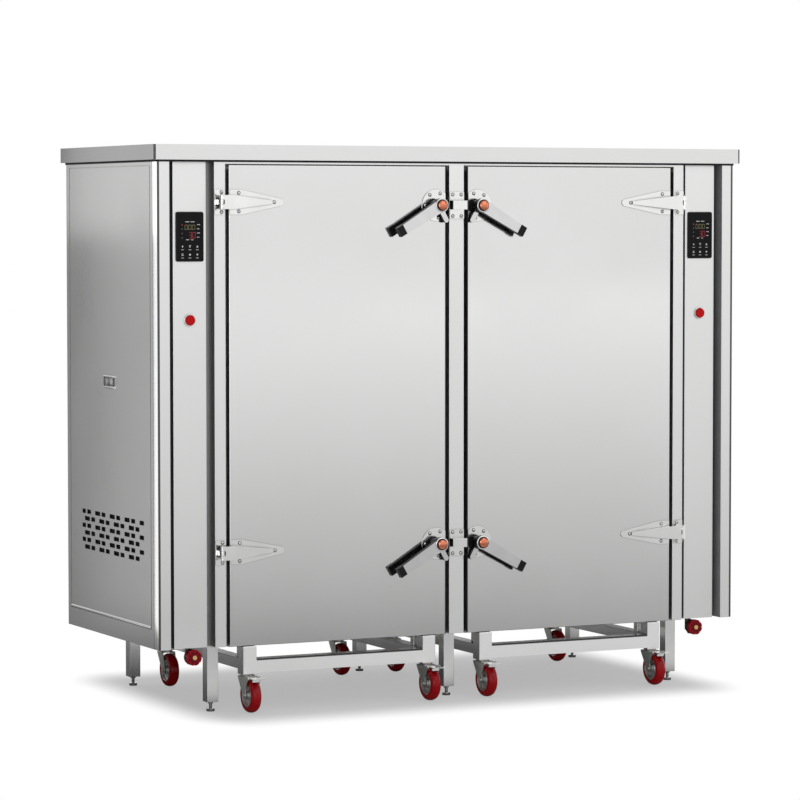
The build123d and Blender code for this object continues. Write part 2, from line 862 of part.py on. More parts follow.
def bar_outline(sign, height, start, end, near, far, angle):
    """Corners of a bar that leaves the latch post at an angle, with its width at each end."""
    near_low = lever_point(sign, height, start, -near / 2, angle)
    far_low = lever_point(sign, height, end, -far / 2, angle)
    far_high = lever_point(sign, height, end, far / 2, angle)
    near_high = lever_point(sign, height, start, near / 2, angle)
    return near_low, far_low, far_high, near_high


# Latch levers: a hollow channel handle, a hub and a tongue, with a moulded end on it
grip_start = lever_length - grip_length
hollow_share = lever_hollow_start / grip_start
hollow_near = lever_root + (lever_width - lever_root) * hollow_share - 2 * lever_wall
hollow_far = lever_width - 2 * lever_wall
for name, sign in sides:
    for level, height in (("upper", latch_upper), ("lower", latch_lower)):
        with BuildPart() as latch_lever:
            rod_y(sign * latch_x, height, hub_radius, lever_front, lever_back)
            rod_y(sign * latch_x, height, boss_radius, lever_back, tongue_back)
            with BuildSketch(front_plane(tongue_back)):
                with BuildLine():
                    Polyline(*bar_outline(sign, height, 0, tongue_reach - tongue_width / 2,
                                          tongue_width, tongue_width,
                                          tongue_angle), close=True)
                make_face()
                tip = lever_point(sign, height, tongue_reach - tongue_width / 2, 0,
                                  tongue_angle)
                with Locations(tip):
                    Circle(tongue_width / 2)
            extrude(amount=tongue_thick)
            with BuildSketch(front_plane(lever_front + lever_thick)):
                with BuildLine():
                    Polyline(*bar_outline(sign, height, 0, grip_start, lever_root,
                                          lever_width, lever_angle), close=True)
                make_face()
            extrude(amount=lever_thick)
            with BuildSketch(front_plane(lever_front + lever_thick + 1)):
                with BuildLine():
                    Polyline(*bar_outline(sign, height, lever_hollow_start,
                                          grip_start + 1, hollow_near, hollow_far,
                                          lever_angle), close=True)
                make_face()
            extrude(amount=lever_thick + 1 - lever_wall, mode=Mode.SUBTRACT)
            rod_y(sign * latch_x, height, post_radius + post_fit, lever_front - 1,
                  tongue_back + 1, Mode.SUBTRACT)
            with BuildSketch(front_plane(lever_front + lever_thick + grip_proud)):
                with BuildLine():
                    Polyline(*bar_outline(sign, height, grip_start, lever_length,
                                          lever_width + 2 * grip_proud,
                                          lever_width + 2 * grip_proud, lever_angle),
                             close=True)
                make_face()
            extrude(amount=lever_thick + 2 * grip_proud)
        save(latch_lever, f"{name}_{level}_latch_lever")


# Latch strikes: a plate on the centre stile whose lip hangs in front of the tongues
with BuildPart() as latch_strikes:
    for height in latch_heights:
        slab(-keeper_width / 2, keeper_width / 2, front_y - keeper_thick, front_y,
             height - keeper_tall / 2, height + keeper_tall / 2)
        slab(-keeper_width / 2, keeper_width / 2, front_y - keeper_reach,
             front_y - keeper_thick, height + keeper_lip_top - keeper_thick,
             height + keeper_lip_top)
        slab(-keeper_width / 2, keeper_width / 2, front_y - keeper_reach,
             front_y - keeper_reach + keeper_thick, height + keeper_lip_bottom,
             height + keeper_lip_top)
    for x, z in keeper_screws:
        rod_y(x, z, screw_hole, front_y - keeper_thick - 1, front_y + 1, Mode.SUBTRACT)
save(latch_strikes, "latch_strikes")


# Screws of the hinge leaves and the strikes, in the front frame
with BuildPart() as frame_screws:
    for x, z in leaf_screws:
        for sign in (-1, 1):
            front_screw(sign * x, z, front_y - leaf_thick)
    for x, z in keeper_screws:
        front_screw(x, z, front_y - keeper_thick)
save(frame_screws, "frame_screws")

# Screws of the hinge straps and the latch bases, in each door
for name, sign in sides:
    with BuildPart() as door_screws:
        for x, z in strap_screws:
            front_screw(sign * x, z, strap_face)
        for x, z in base_screws:
            front_screw(sign * x, z, front_y - base_thick)
    save(door_screws, f"{name}_door_screws")


# Steam generators: a welded tank on two skids with flanged heating elements, and the
# steam pipe that rises from it, bends once and ends inside the chamber
flange_y = tank_front_y - flange_thick
tank_x = (tank_outer_x + tank_inner_x) / 2
element_z = tank_bottom + tank_height / 3
elbow_z = tank_bottom + drain_elbow
with BuildPart() as steam_generators:
    for name, sign in sides:
        slab(sign * tank_outer_x, sign * tank_inner_x, tank_front_y,
             tank_front_y + tank_depth, tank_bottom, tank_top)
        slab(sign * (tank_outer_x - tank_wall), sign * (tank_inner_x + tank_wall),
             tank_front_y + tank_wall, tank_front_y + tank_depth - tank_wall,
             tank_bottom + tank_wall, tank_top - tank_wall, Mode.SUBTRACT)
        rod_y(sign * tank_x, element_z, element_hole, tank_front_y - 1,
              tank_front_y + tank_wall + 1, Mode.SUBTRACT)
        rod_z(sign * pipe_x, pipe_y, pipe_radius - pipe_wall, tank_top - tank_wall - 1,
              tank_top + 1, Mode.SUBTRACT)
        rod_y(sign * valve_x, elbow_z, drain_branch - drain_wall, tank_front_y - 1,
              tank_front_y + tank_wall + 1, Mode.SUBTRACT)
        for x in (tank_outer_x - skid_width, tank_inner_x):
            slab(sign * x, sign * (x + skid_width), tank_front_y,
                 tank_front_y + tank_depth, underside + sheet, tank_bottom)
        rod_y(sign * tank_x, element_z, element_flange, flange_y, tank_front_y)
        for row in (-1, 0, 1):
            z = element_z + row * element_pitch / 2
            for x in (-element_spread, element_spread):
                rod_y(sign * tank_x + x, z, element_rod, tank_front_y,
                      tank_front_y + element_length)
            rod_x(tank_front_y + element_length - element_rod, z, element_rod * 0.8,
                  sign * tank_x - element_spread, sign * tank_x + element_spread)
        for bolt in range(flange_bolts):
            turn = radians(360 / flange_bolts * bolt)
            reach = (element_flange + element_hole) / 2
            rod_y(sign * tank_x + reach * cos(turn), element_z + reach * sin(turn),
                  screw_head_radius, flange_y - screw_head, flange_y)
        start = (sign * pipe_x, pipe_y, tank_top)
        turn_low = (sign * pipe_x, pipe_y, pipe_height - pipe_bend)
        turn_high = (sign * (pipe_x - pipe_bend), pipe_y, pipe_height)
        end = (sign * (liner_outer - pipe_entry), pipe_y, pipe_height)
        with BuildLine() as pipe_run:
            Line(start, turn_low)
            TangentArc(turn_low, turn_high, tangent=(0, 0, 1))
            Line(turn_high, end)
        with BuildSketch(Plane(origin=start, z_dir=(0, 0, 1))):
            Circle(pipe_radius)
            Circle(pipe_radius - pipe_wall, mode=Mode.SUBTRACT)
        sweep(path=pipe_run.line)
save(steam_generators, "steam_generators")


# Drain valves: a pipe from the tank's front down to the valve body, its disc and its stem
valve_disc_y = front_y + valve_disc_depth
valve_body_y = valve_disc_y + valve_disc_thick
handwheel_y = front_y + wheel_front
with BuildPart() as drain_valves:
    for name, sign in sides:
        x = sign * valve_x
        rod_y(x, valve_height, valve_stem_radius, handwheel_y + stem_gap, valve_disc_y)
        rod_y(x, valve_height, valve_disc_radius, valve_disc_y, valve_body_y)
        rod_y(x, valve_height, valve_body_radius, valve_body_y,
              valve_body_y + valve_body_length)
        rod_z(x, drain_y, drain_radius, valve_height - drain_cap, elbow_z + drain_cap)
        rod_y(x, elbow_z, drain_branch, drain_y, tank_front_y)
        rod_z(x, valve_body_y + outlet_offset, outlet_radius,
              valve_height - outlet_length, valve_height)
        rod_z(x, drain_y, drain_radius - drain_wall, valve_height,
              elbow_z + drain_cap - drain_cap_thick, Mode.SUBTRACT)
        rod_y(x, elbow_z, drain_branch - drain_wall, drain_y, tank_front_y + 1, Mode.SUBTRACT)
        rod_z(x, valve_body_y + outlet_offset, outlet_radius - outlet_wall,
              valve_height - outlet_length - 1, valve_height, Mode.SUBTRACT)
save(drain_valves, "drain_valves")


# Valve handwheels: a notched wheel on the stem with a nut in front of it
for name, sign in sides:
    with BuildPart() as handwheel:
        x = sign * valve_x
        with BuildSketch(front_plane(handwheel_y + handwheel_thick)):
            with Locations((x, valve_height)):
                Circle(handwheel_radius)
                with PolarLocations(handwheel_radius + handwheel_notch / 2,
                                    handwheel_lobes):
                    Circle(handwheel_notch, mode=Mode.SUBTRACT)
        extrude(amount=handwheel_thick)
        rod_y(x, valve_height, handwheel_nut_radius, handwheel_y - handwheel_nut,
              handwheel_y)
        rod_y(x, valve_height, valve_stem_radius + axle_fit, handwheel_y,
              handwheel_y + handwheel_thick + 1, Mode.SUBTRACT)
    save(handwheel, f"{name}_valve_handwheel")


# Trolley frames: four legs and four rails, a drip pan on top and the caster plates below
pan_outer = liner_outer - pan_side_gap
pan_inner = liner_inner + pan_side_gap
pan_y0 = front_y + pan_front
pan_y1 = liner_back - pan_rear_gap
pan_top = trolley_leg_top + pan_thick
half_tube = trolley_tube / 2
leg_offset = trolley_leg_pitch / 2
race_bottom = crown_bottom + crown_thick + race_gap
front_leg_top = underside - trolley_head_gap
rack_y0 = front_y + rack_front
rack_y1 = rack_y0 + rack_depth
with BuildPart() as trolley_frames:
    for name, sign in sides:
        centre = sign * bay_centre
        for x in (centre - leg_offset, centre + leg_offset):
            for y, top in ((swivel_front_y, front_leg_top), (swivel_rear_y, trolley_leg_top)):
                slab(x - half_tube, x + half_tube, y - half_tube, y + half_tube,
                     trolley_leg_bottom, top)
            slab(x - half_tube, x + half_tube, swivel_front_y, swivel_rear_y,
                 side_rail_bottom, end_rail_top)
        for y in (swivel_front_y, swivel_rear_y):
            slab(centre - leg_offset, centre + leg_offset, y - half_tube, y + half_tube,
                 end_rail_bottom, end_rail_top)
        for side in (-1, 1):
            post_x = centre + side * (leg_offset + half_tube - post_inset)
            slab(post_x, post_x - side * rack_tube, rack_y0, rack_y0 + rack_tube,
                 end_rail_top, trolley_leg_top)
        slab(sign * pan_outer, sign * pan_inner, pan_y0, pan_y1, trolley_leg_top,
             pan_top + pan_rim)
        slab(sign * (pan_outer - pan_wall), sign * (pan_inner + pan_wall),
             pan_y0 + pan_wall, pan_y1 - pan_wall, pan_top, pan_top + pan_rim + 1,
             Mode.SUBTRACT)
        for x in (centre - leg_offset, centre + leg_offset):
            for y in (swivel_front_y, swivel_rear_y):
                rod_z(x, y, race_radius, race_bottom, trolley_leg_bottom - plate_thick)
                slab(x - half_tube, x + half_tube, y - half_tube, y + half_tube,
                     trolley_leg_bottom - plate_thick, trolley_leg_bottom)
save(trolley_frames, "trolley_frames")


# Trolley racks: four uprights, a ring of bars at the top and angle runners for the trays
rack_half = trolley_leg_pitch / 2 + half_tube
rack_top = pan_top + rack_height
with BuildPart() as trolley_racks:
    for name, sign in sides:
        centre = sign * bay_centre
        for side in (-1, 1):
            outer = centre + side * rack_half
            inner = outer - side * rack_tube
            for y in (rack_y0, rack_y1 - rack_tube):
                slab(outer, inner, y, y + rack_tube, pan_top, rack_top)
            slab(outer, inner, rack_y0, rack_y1, rack_top - rack_tube, rack_top)
            for tier in range(tiers):
                z = first_tier + tier * tier_pitch
                slab(inner, inner - side * runner_thick, rack_y0, rack_y1,
                     z - runner_thick, z + runner_width)
                slab(inner, inner - side * runner_width, rack_y0, rack_y1,
                     z - runner_thick, z)
        for y in (rack_y0, rack_y1 - rack_tube):
            slab(centre - rack_half, centre + rack_half, y, y + rack_tube,
                 rack_top - rack_tube, rack_top)
save(trolley_racks, "trolley_racks")


# Trays on the runners
tray_half = rack_half - rack_tube - runner_thick - tray_side_gap
with BuildPart() as trays:
    for name, sign in sides:
        centre = sign * bay_centre
        for tier in range(tiers):
            z = first_tier + tier * tier_pitch
            slab(centre - tray_half, centre + tray_half, rack_y0 + tray_end_gap,
                 rack_y1 - tray_end_gap, z, z + tray_height)
            slab(centre - tray_half + tray_wall, centre + tray_half - tray_wall,
                 rack_y0 + tray_end_gap + tray_wall, rack_y1 - tray_end_gap - tray_wall,
                 z + tray_wall, z + tray_height + 1, Mode.SUBTRACT)
save(trays, "trays")


def build_fork(x, y, label, with_ears):
    """A swivel fork: crown, two side plates and the axle bolt for a swivel axis at x, y."""
    axle_y = y - caster_trail
    pivot_y = y - pedal_pivot_reach
    crown_top = crown_bottom + crown_thick
    reach = fork_gap + fork_thick
    with BuildPart() as fork:
        slab(x - reach, x + reach, y - fork_crown_front, y + fork_crown_back,
             crown_bottom, crown_top)
        for plate_x in (x - reach, x + fork_gap):
            with BuildSketch(Plane.YZ.offset(plate_x)):
                with BuildLine():
                    Polyline((y + fork_crown_back, crown_top),
                             (y - fork_crown_front, crown_top),
                             (axle_y - axle_boss, wheel_radius),
                             (axle_y + axle_boss, wheel_radius),
                             (y + fork_crown_back, crown_bottom - crown_thick),
                             close=True)
                make_face()
                with Locations((axle_y, wheel_radius)):
                    Circle(axle_boss)
                if with_ears:
                    with BuildLine():
                        Polyline((y - fork_crown_front + 1, crown_top),
                                 (pivot_y, crown_top),
                                 (pivot_y, pedal_pivot_height - ear_radius),
                                 (y - fork_crown_front - axle_boss / 2,
                                  wheel_radius + axle_boss), close=True)
                    make_face()
                    with Locations((pivot_y, pedal_pivot_height)):
                        Circle(ear_radius)
                        Circle(pedal_pin + axle_fit, mode=Mode.SUBTRACT)
            extrude(amount=fork_thick)
        rod_x(axle_y, wheel_radius, axle_radius, x - reach, x + reach)
        for end in (-1, 1):
            rod_x(axle_y, wheel_radius, axle_head_radius, x + end * reach,
                  x + end * (reach + axle_head))
    save(fork, f"{label}_fork")


def build_wheel(x, y, label):
    """A wheel: a domed tyre round a webbed hub that turns on the axle bolt."""
    axle_y = y - caster_trail
    edge = tyre_width / 2
    with BuildPart() as wheel:
        with BuildSketch(Plane(origin=(x, axle_y, wheel_radius), x_dir=(1, 0, 0),
                               z_dir=(0, -1, 0))):
            with BuildLine():
                Line((-edge, hub_ring_radius), (edge, hub_ring_radius))
                Line((edge, hub_ring_radius), (edge, tread_side_radius))
                ThreePointArc((edge, tread_side_radius), (0, wheel_radius),
                              (-edge, tread_side_radius))
                Line((-edge, tread_side_radius), (-edge, hub_ring_radius))
            make_face()
        revolve(axis=Axis((x, axle_y, wheel_radius), (1, 0, 0)))
        rod_x(axle_y, wheel_radius, hub_ring_radius, x - hub_web / 2, x + hub_web / 2)
        rod_x(axle_y, wheel_radius, hub_boss_radius, x - hub_width / 2, x + hub_width / 2)
        rod_x(axle_y, wheel_radius, axle_radius + axle_fit, x - hub_width,
              x + hub_width, Mode.SUBTRACT)
    save(wheel, f"{label}_wheel")


def build_pedal(x, y, label):
    """A brake pedal: a plate on a barrel between the fork's ears, with its brake pad."""
    pivot_y = y - pedal_pivot_reach
    tip_y = y - pedal_reach
    with BuildPart() as pedal:
        slab(x - pedal_width / 2, x + pedal_width / 2, tip_y, pivot_y + pedal_barrel,
             pedal_top - pedal_thick, pedal_top)
        slab(x - pedal_toe_width / 2, x + pedal_toe_width / 2, tip_y, tip_y + pedal_toe,
             pedal_top - pedal_thick, pedal_top)
        barrel_half = fork_gap - pedal_side_gap
        rod_x(pivot_y, pedal_pivot_height, pedal_barrel, x - barrel_half, x + barrel_half)
        pin_half_length = fork_gap + fork_thick
        rod_x(pivot_y, pedal_pivot_height, pedal_pin, x - pin_half_length,
              x + pin_half_length)
        slab(x - pad_width / 2, x + pad_width / 2, y - pad_start - pad_length,
             y - pad_start, pad_bottom, pedal_top)
    save(pedal, f"{label}_brake_pedal")


# Casters: a fork and a wheel under each trolley leg, and a brake pedal on the front ones
for name, sign in sides:
    for corner, step in (("outer", 1), ("inner", -1)):
        x = sign * (bay_centre + step * leg_offset)
        for end, y in (("front", swivel_front_y), ("rear", swivel_rear_y)):
            label = f"{name}_{end}_{corner}"
            build_fork(x, y, label, end == "front")
            build_wheel(x, y, label)
            if end == "front":
                build_pedal(x, y, label)
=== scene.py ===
import json
from math import cos, pi, radians, sin

import bmesh
import bpy
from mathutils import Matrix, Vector

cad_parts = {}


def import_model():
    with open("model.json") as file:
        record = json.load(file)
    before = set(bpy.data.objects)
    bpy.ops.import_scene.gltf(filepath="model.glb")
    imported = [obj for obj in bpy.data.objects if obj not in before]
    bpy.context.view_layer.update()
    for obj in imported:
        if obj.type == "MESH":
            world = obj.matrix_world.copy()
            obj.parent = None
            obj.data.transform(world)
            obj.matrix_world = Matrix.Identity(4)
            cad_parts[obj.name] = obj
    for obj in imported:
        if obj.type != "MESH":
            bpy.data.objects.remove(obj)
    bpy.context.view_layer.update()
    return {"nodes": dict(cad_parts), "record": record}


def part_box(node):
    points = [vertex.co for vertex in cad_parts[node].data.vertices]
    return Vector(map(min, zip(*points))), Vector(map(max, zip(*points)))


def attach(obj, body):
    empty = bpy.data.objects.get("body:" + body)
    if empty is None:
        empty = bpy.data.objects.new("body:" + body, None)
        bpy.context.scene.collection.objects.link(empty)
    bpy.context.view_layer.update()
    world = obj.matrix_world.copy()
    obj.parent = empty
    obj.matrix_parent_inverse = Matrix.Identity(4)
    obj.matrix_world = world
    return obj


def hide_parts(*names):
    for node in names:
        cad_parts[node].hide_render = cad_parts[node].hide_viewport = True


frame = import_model()
nodes = frame["nodes"]
scene = bpy.context.scene

MM = 0.001
SIDES = (("left", -1), ("right", 1))

# Sizes shared with the solids, in metres, in the frame of the part
HALF = 1.021
FRONT = -0.35625
BACK = FRONT + 0.788
UNDERSIDE = 0.207
COVER_Z = 1.709
COVER_SIDE_REACH = 0.017
COVER_FRONT_REACH = 0.018
STRIP_EDGE = HALF - 0.040
STILE_OUTER = HALF - 0.1875
STILE_INNER = HALF - 0.2245
CENTRE_STILE = 0.026
DOOR_EDGE = 0.038
COLUMN_FACE = FRONT + 0.020
CONTROL_X = HALF - 0.1135
PLATE_FACE = FRONT + 0.016
PLATE_Z = 1.474
CUP_Y = FRONT + 0.411
CUP_Z = 1.0155
LATCH_X = 0.0733
LATCH_Z = {"upper": 1.571, "lower": 0.498}
LATCH_PLATE = FRONT - 0.003
LEVER_FACE = FRONT - 0.044
LEVER_TURN = radians(210)
GRIP_START = 0.150
VALVE_X = HALF - 0.124
VALVE_Z = 0.177
VALVE_FACE = FRONT + 0.016
NUT_REACH = 0.0075
SWIVEL_FRONT = FRONT + 0.0145
SWIVEL_REAR = SWIVEL_FRONT + 0.668
BAY = (STILE_INNER + CENTRE_STILE) / 2
LEG_OFFSET = 0.310
LEG_HALF = 0.0225
RAIL_LOW = 0.1225
RAIL_TOP = 0.165
TRAIL = 0.028
WHEEL_R = 0.054

# How far a face may be off a shared plane, and how far trim reaches into the metal behind it
NEAR = 0.0002
TUCK = 0.0004


# Materials

def material(name, colour, metallic=0.0, roughness=0.5, **sockets):
    """A material and its main shader, with plain values on the shader's own sockets."""
    mat = bpy.data.materials.new(name)
    mat.use_nodes = True
    shader = mat.node_tree.nodes["Principled BSDF"]
    shader.inputs["Base Color"].default_value = (*colour, 1)
    shader.inputs["Metallic"].default_value = metallic
    shader.inputs["Roughness"].default_value = roughness
    for key, value in sockets.items():
        shader.inputs[key.replace("_", " ")].default_value = value
    return mat, shader


def add_node(tree, kind, operation=None, *values):
    """A node with its operation, and its first inputs as plain values or links."""
    made = tree.nodes.new(kind)
    if operation:
        made.operation = operation
    for k, value in enumerate(values):
        if isinstance(value, (int, float, tuple)):
            made.inputs[k].default_value = value
        else:
            tree.links.new(value, made.inputs[k])
    return made


def maths(tree, operation, *values):
    """The result of one Math node."""
    return add_node(tree, "ShaderNodeMath", operation, *values).outputs[0]


def ranged(tree, value, start, end, low, high, smooth=False):
    """A value mapped from one range to another, and held at the ends."""
    made = add_node(tree, "ShaderNodeMapRange", None, value)
    if smooth:
        made.interpolation_type = "SMOOTHSTEP"
    for key, number in (("From Min", start), ("From Max", end), ("To Min", low),
                        ("To Max", high)):
        made.inputs[key].default_value = number
    return made.outputs["Result"]


def noise(mat, scale, detail=3.0, stretch=(1, 1, 1), rough=0.55):
    """Noise in the part's own frame, stretched along an axis for brushed or drawn grain."""
    tree = mat.node_tree
    coords = tree.nodes.new("ShaderNodeTexCoord")
    mapping = add_node(tree, "ShaderNodeMapping", None, coords.outputs["Object"])
    mapping.inputs["Scale"].default_value = stretch
    tex = add_node(tree, "ShaderNodeTexNoise", None, mapping.outputs["Vector"])
    tex.inputs["Scale"].default_value = scale
    tex.inputs["Detail"].default_value = detail
    tex.inputs["Roughness"].default_value = rough
    return tex.outputs["Fac"]


def tint(mat, value, dark, light, start=0.3, end=0.7):
    """Noise turned into a blend of two colours on the shader's base colour."""
    tree = mat.node_tree
    ramp = add_node(tree, "ShaderNodeValToRGB", None, value)
    ramp.color_ramp.elements[0].position = start
    ramp.color_ramp.elements[1].position = end
    ramp.color_ramp.elements[0].color = (*dark, 1)
    ramp.color_ramp.elements[1].color = (*light, 1)
    tree.links.new(ramp.outputs["Color"], tree.nodes["Principled BSDF"].inputs["Base Color"])


def gloss(mat, value, low, high, start=0.3, end=0.7):
    """Noise turned into a range of roughness."""
    tree = mat.node_tree
    rough = tree.nodes["Principled BSDF"].inputs["Roughness"]
    tree.links.new(ranged(tree, value, start, end, low, high), rough)


def bump(mat, value, strength, distance):
    """Relief from a value, chained after any relief that is there."""
    tree = mat.node_tree
    node = tree.nodes.new("ShaderNodeBump")
    node.inputs["Strength"].default_value = strength
    node.inputs["Distance"].default_value = distance
    tree.links.new(value, node.inputs["Height"])
    normal = tree.nodes["Principled BSDF"].inputs["Normal"]
    if normal.links:
        tree.links.new(normal.links[0].from_socket, node.inputs["Normal"])
    tree.links.new(node.outputs["Normal"], normal)


def painted_crevice_shade(mat, depth, dark):
    """Painted shade and dirt: darkens the base colour from ambient occlusion where surfaces meet
    closely, standing in for the shadow that falls there.
    """
    tree = mat.node_tree
    base = tree.nodes["Principled BSDF"].inputs["Base Color"]
    near = tree.nodes.new("ShaderNodeAmbientOcclusion")
    near.samples = 6
    near.inputs["Distance"].default_value = depth
    mix = tree.nodes.new("ShaderNodeMix")
    mix.data_type = "RGBA"
    mix.blend_type = "MULTIPLY"
    mix.inputs["Factor"].default_value = 1.0
    tree.links.new(base.links[0].from_socket, mix.inputs[6])
    tree.links.new(ranged(tree, near.outputs["AO"], 0.25, 0.85, dark, 1.0), mix.inputs[7])
    tree.links.new(mix.outputs[2], base)


ACROSS_GRAIN = 1400
ALONG_GRAIN = 6


def brushed(name, shade, rough, grain, grain_scale=1.0, relief=0.05, joints=0.30):
    """Brushed stainless: fine grain along one axis, faint cloudiness in tone and gloss."""
    mat, _ = material(name, (shade, shade, shade * 0.99), 1.0, rough)
    fine = ACROSS_GRAIN * grain_scale
    long = ALONG_GRAIN * grain_scale
    stretch = {"x": (long, fine, fine), "y": (fine, long, fine), "z": (fine, fine, long)}[grain]
    lines = noise(mat, 1.0, 2.0, stretch)
    clouds = noise(mat, 2.2, 3.0)
    mixed = maths(mat.node_tree, "MULTIPLY_ADD", lines, 0.45, clouds)
    gloss(mat, mixed, rough - 0.03, rough + 0.04, 0.5, 0.95)
    low = shade * 0.98
    tint(mat, mixed, (low, low, low * 0.99), (shade, shade, shade * 0.995), 0.5, 0.95)
    bump(mat, lines, relief, 0.00006)
    # Painted shade where surfaces meet closely, left out when joints is 1
    if joints < 1.0:
        painted_crevice_shade(mat, 0.012, joints)
    return mat


def polished(name, colour, rough, wave=12.0):
    """Cast or turned metal, polished, with slight waviness and fine scratches."""
    mat, _ = material(name, colour, 1.0, rough)
    soft = noise(mat, wave, 2.0)
    fine = noise(mat, 420.0, 3.0)
    gloss(mat, fine, rough - 0.05, rough + 0.08)
    tint(mat, soft, tuple(c * 0.93 for c in colour), colour)
    bump(mat, soft, 0.06, 0.0006)
    bump(mat, fine, 0.05, 0.00005)
    # Painted shade where surfaces meet closely
    painted_crevice_shade(mat, 0.009, 0.12)
    return mat


def moulded(name, colour, rough, grain=600.0, relief=0.12, specular=0.5):
    """Moulded plastic, enamel or rubber with a fine grain and a little wear in its gloss."""
    mat, _ = material(name, colour, 0.0, rough, Specular_IOR_Level=specular)
    fine = noise(mat, grain, 3.0)
    soft = noise(mat, 18.0, 2.0)
    gloss(mat, soft, rough - 0.05, rough + 0.07)
    tint(mat, soft, tuple(c * 0.88 for c in colour), colour)
    bump(mat, fine, relief, 0.00008)
    # Painted shade where surfaces meet closely
    painted_crevice_shade(mat, 0.008, 0.35)
    return mat


def wool():
    """Mineral wool: short fibres over soft clumps."""
    mat, _ = material("wool_slab", (0.62, 0.56, 0.36), 0.0, 0.95)
    fibres = noise(mat, 1.0, 6.0, (220, 60, 60), 0.7)
    clumps = noise(mat, 26.0, 4.0)
    tint(mat, clumps, (0.42, 0.37, 0.22), (0.70, 0.64, 0.44))
    bump(mat, fibres, 0.6, 0.002)
    bump(mat, clumps, 0.5, 0.004)
    return mat


# Brushed sheet and tube: shade, roughness and the axis of the grain
SHEET = brushed("sheet_brushed_upright", 0.85, 0.30, "z")
# The side panels' stainless, darker than the front sheet: painted shade on the sides
SIDE_SHADED = brushed("sheet_brushed_side_painted_shade", 0.50, 0.30, "z")
# The cover's end walls, a darker copy of its sheet: painted shade
COVER_END_SHADED = brushed("cover_brushed_side_painted_shade", 0.26, 0.20, "y")
POST = brushed("post_brushed_bright", 0.94, 0.12, "z", joints=1.0)
COVER = brushed("sheet_brushed_along", 0.78, 0.18, "x")
DOOR = brushed("door_brushed", 0.80, 0.095, "z", 0.8, 0.03)
TUBE = brushed("tube_brushed", 0.88, 0.20, "z", 1.0, 0.08)
RAIL = brushed("rail_brushed", 0.95, 0.36, "x", 1.0, 0.08)
LINER = brushed("liner_dull", 0.66, 0.30, "x", 0.7)
TRAY = brushed("tray_drawn", 0.74, 0.34, "y", 0.6)
# The grooves' walls, a darker copy of the sheet: painted shade in the shadow gaps
GROOVE_SHADED = brushed("groove_brushed_painted_shade", 0.36, 0.34, "z", joints=1.0)
# Near black sheet: painted shade in the narrow slits, and painted dark reflection on the rail
# edge and cover corner strips
PAINTED_DARK = brushed("slit_painted_shade", 0.085, 0.34, "z")
# Dark sheet for lines of painted shade at the front corners, behind the bright corner strips and
# on the finger cups' ends
SEAM_SHADE = brushed("seam_painted_shade", 0.11, 0.30, "z", joints=1.0)

# Cast and turned metal: colour, roughness and the scale of its waviness
CAST = polished("cast_polished", (0.92, 0.92, 0.91), 0.12)
LEVER = polished("lever_polished", (0.74, 0.74, 0.74), 0.14, 20.0)
SCREW = polished("screw_bright", (0.80, 0.80, 0.79), 0.12, 60.0)
COPPER = polished("cap_copper", (0.78, 0.25, 0.14), 0.20, 30.0)
UMBER = polished("cap_rim_brown", (0.09, 0.035, 0.028), 0.30, 30.0)
ZINC = polished("zinc_plated", (0.74, 0.76, 0.71), 0.40, 40.0)
PEDAL = polished("pedal_plated", (0.90, 0.90, 0.89), 0.18, 40.0)
HUB = polished("hub_grey", (0.80, 0.80, 0.78), 0.38, 50.0)
BRASS = polished("nut_brass", (0.90, 0.62, 0.28), 0.25, 60.0)
BRONZE = polished("valve_bronze", (0.13, 0.12, 0.105), 0.40, 40.0)
FOOT = polished("foot_plated", (0.70, 0.70, 0.70), 0.16, 50.0)

# Plastic, enamel, rubber and dull paint: colour, roughness, grain, relief and specular level
# Nearly black jacket on the steam generators: painted shade seen through the vents
TANK_SHADE_JACKET = moulded("tank_jacket_painted_dark", (0.035, 0.035, 0.037), 0.55, 260.0, 0.20)
# Black grip plastic, also laid as painted shade on lever sides, boss walls, latch pads and
# strike slots
GRIP_AND_SHADE = moulded("grip_black_and_painted_shade", (0.009, 0.009, 0.010), 0.34, 500.0, 0.10, 0.16)
SEAL = moulded("seal_black", (0.010, 0.010, 0.011), 0.70, 350.0)
# Dull dark grey on the return behind the side panels' strip: painted shade in the groove
RETURN_SHADED = moulded("return_dull_painted_shade", (0.26, 0.26, 0.27), 0.50, 500.0, 0.06, 0.30)
PLATE = moulded("plate_black", (0.005, 0.005, 0.006), 0.34, 800.0, 0.04, 0.13)
BUTTON = moulded("button_red", (0.56, 0.001, 0.003), 0.18, 500.0, 0.03, 0.14)
ENAMEL = moulded("enamel_red", (0.31, 0.001, 0.008), 0.20, 300.0, 0.06, 0.20)
# Dark enamel: painted shade of the hollows on the handwheels
HOLLOW_SHADE = moulded("enamel_hollow_painted_shade", (0.12, 0.001, 0.004), 0.35, 300.0, 0.10, 0.15)
TYRE = moulded("tyre_red", (0.30, 0.001, 0.004), 0.24, 420.0, 0.05, 0.22)
# Black screen behind the vent slots: painted shade seen through them
SCREEN_SHADE = moulded("screen_painted_shade", (0.010, 0.010, 0.011), 0.80, 900.0, 0.40, 0.20)
OLIVE = moulded("digits_olive", (0.20, 0.18, 0.08), 0.40, 900.0, 0.02)
RED = moulded("digits_red", (0.42, 0.02, 0.04), 0.40, 900.0, 0.02)
PALE = moulded("marks_pale", (0.70, 0.70, 0.68), 0.45, 900.0, 0.02)
DIM = moulded("marks_dim", (0.10, 0.10, 0.10), 0.45, 900.0, 0.02)
WOOL = wool()


# Pieces

body_of_node = {n: b for b, ns in frame["record"]["behaviour"]["bodies"].items() for n in ns}


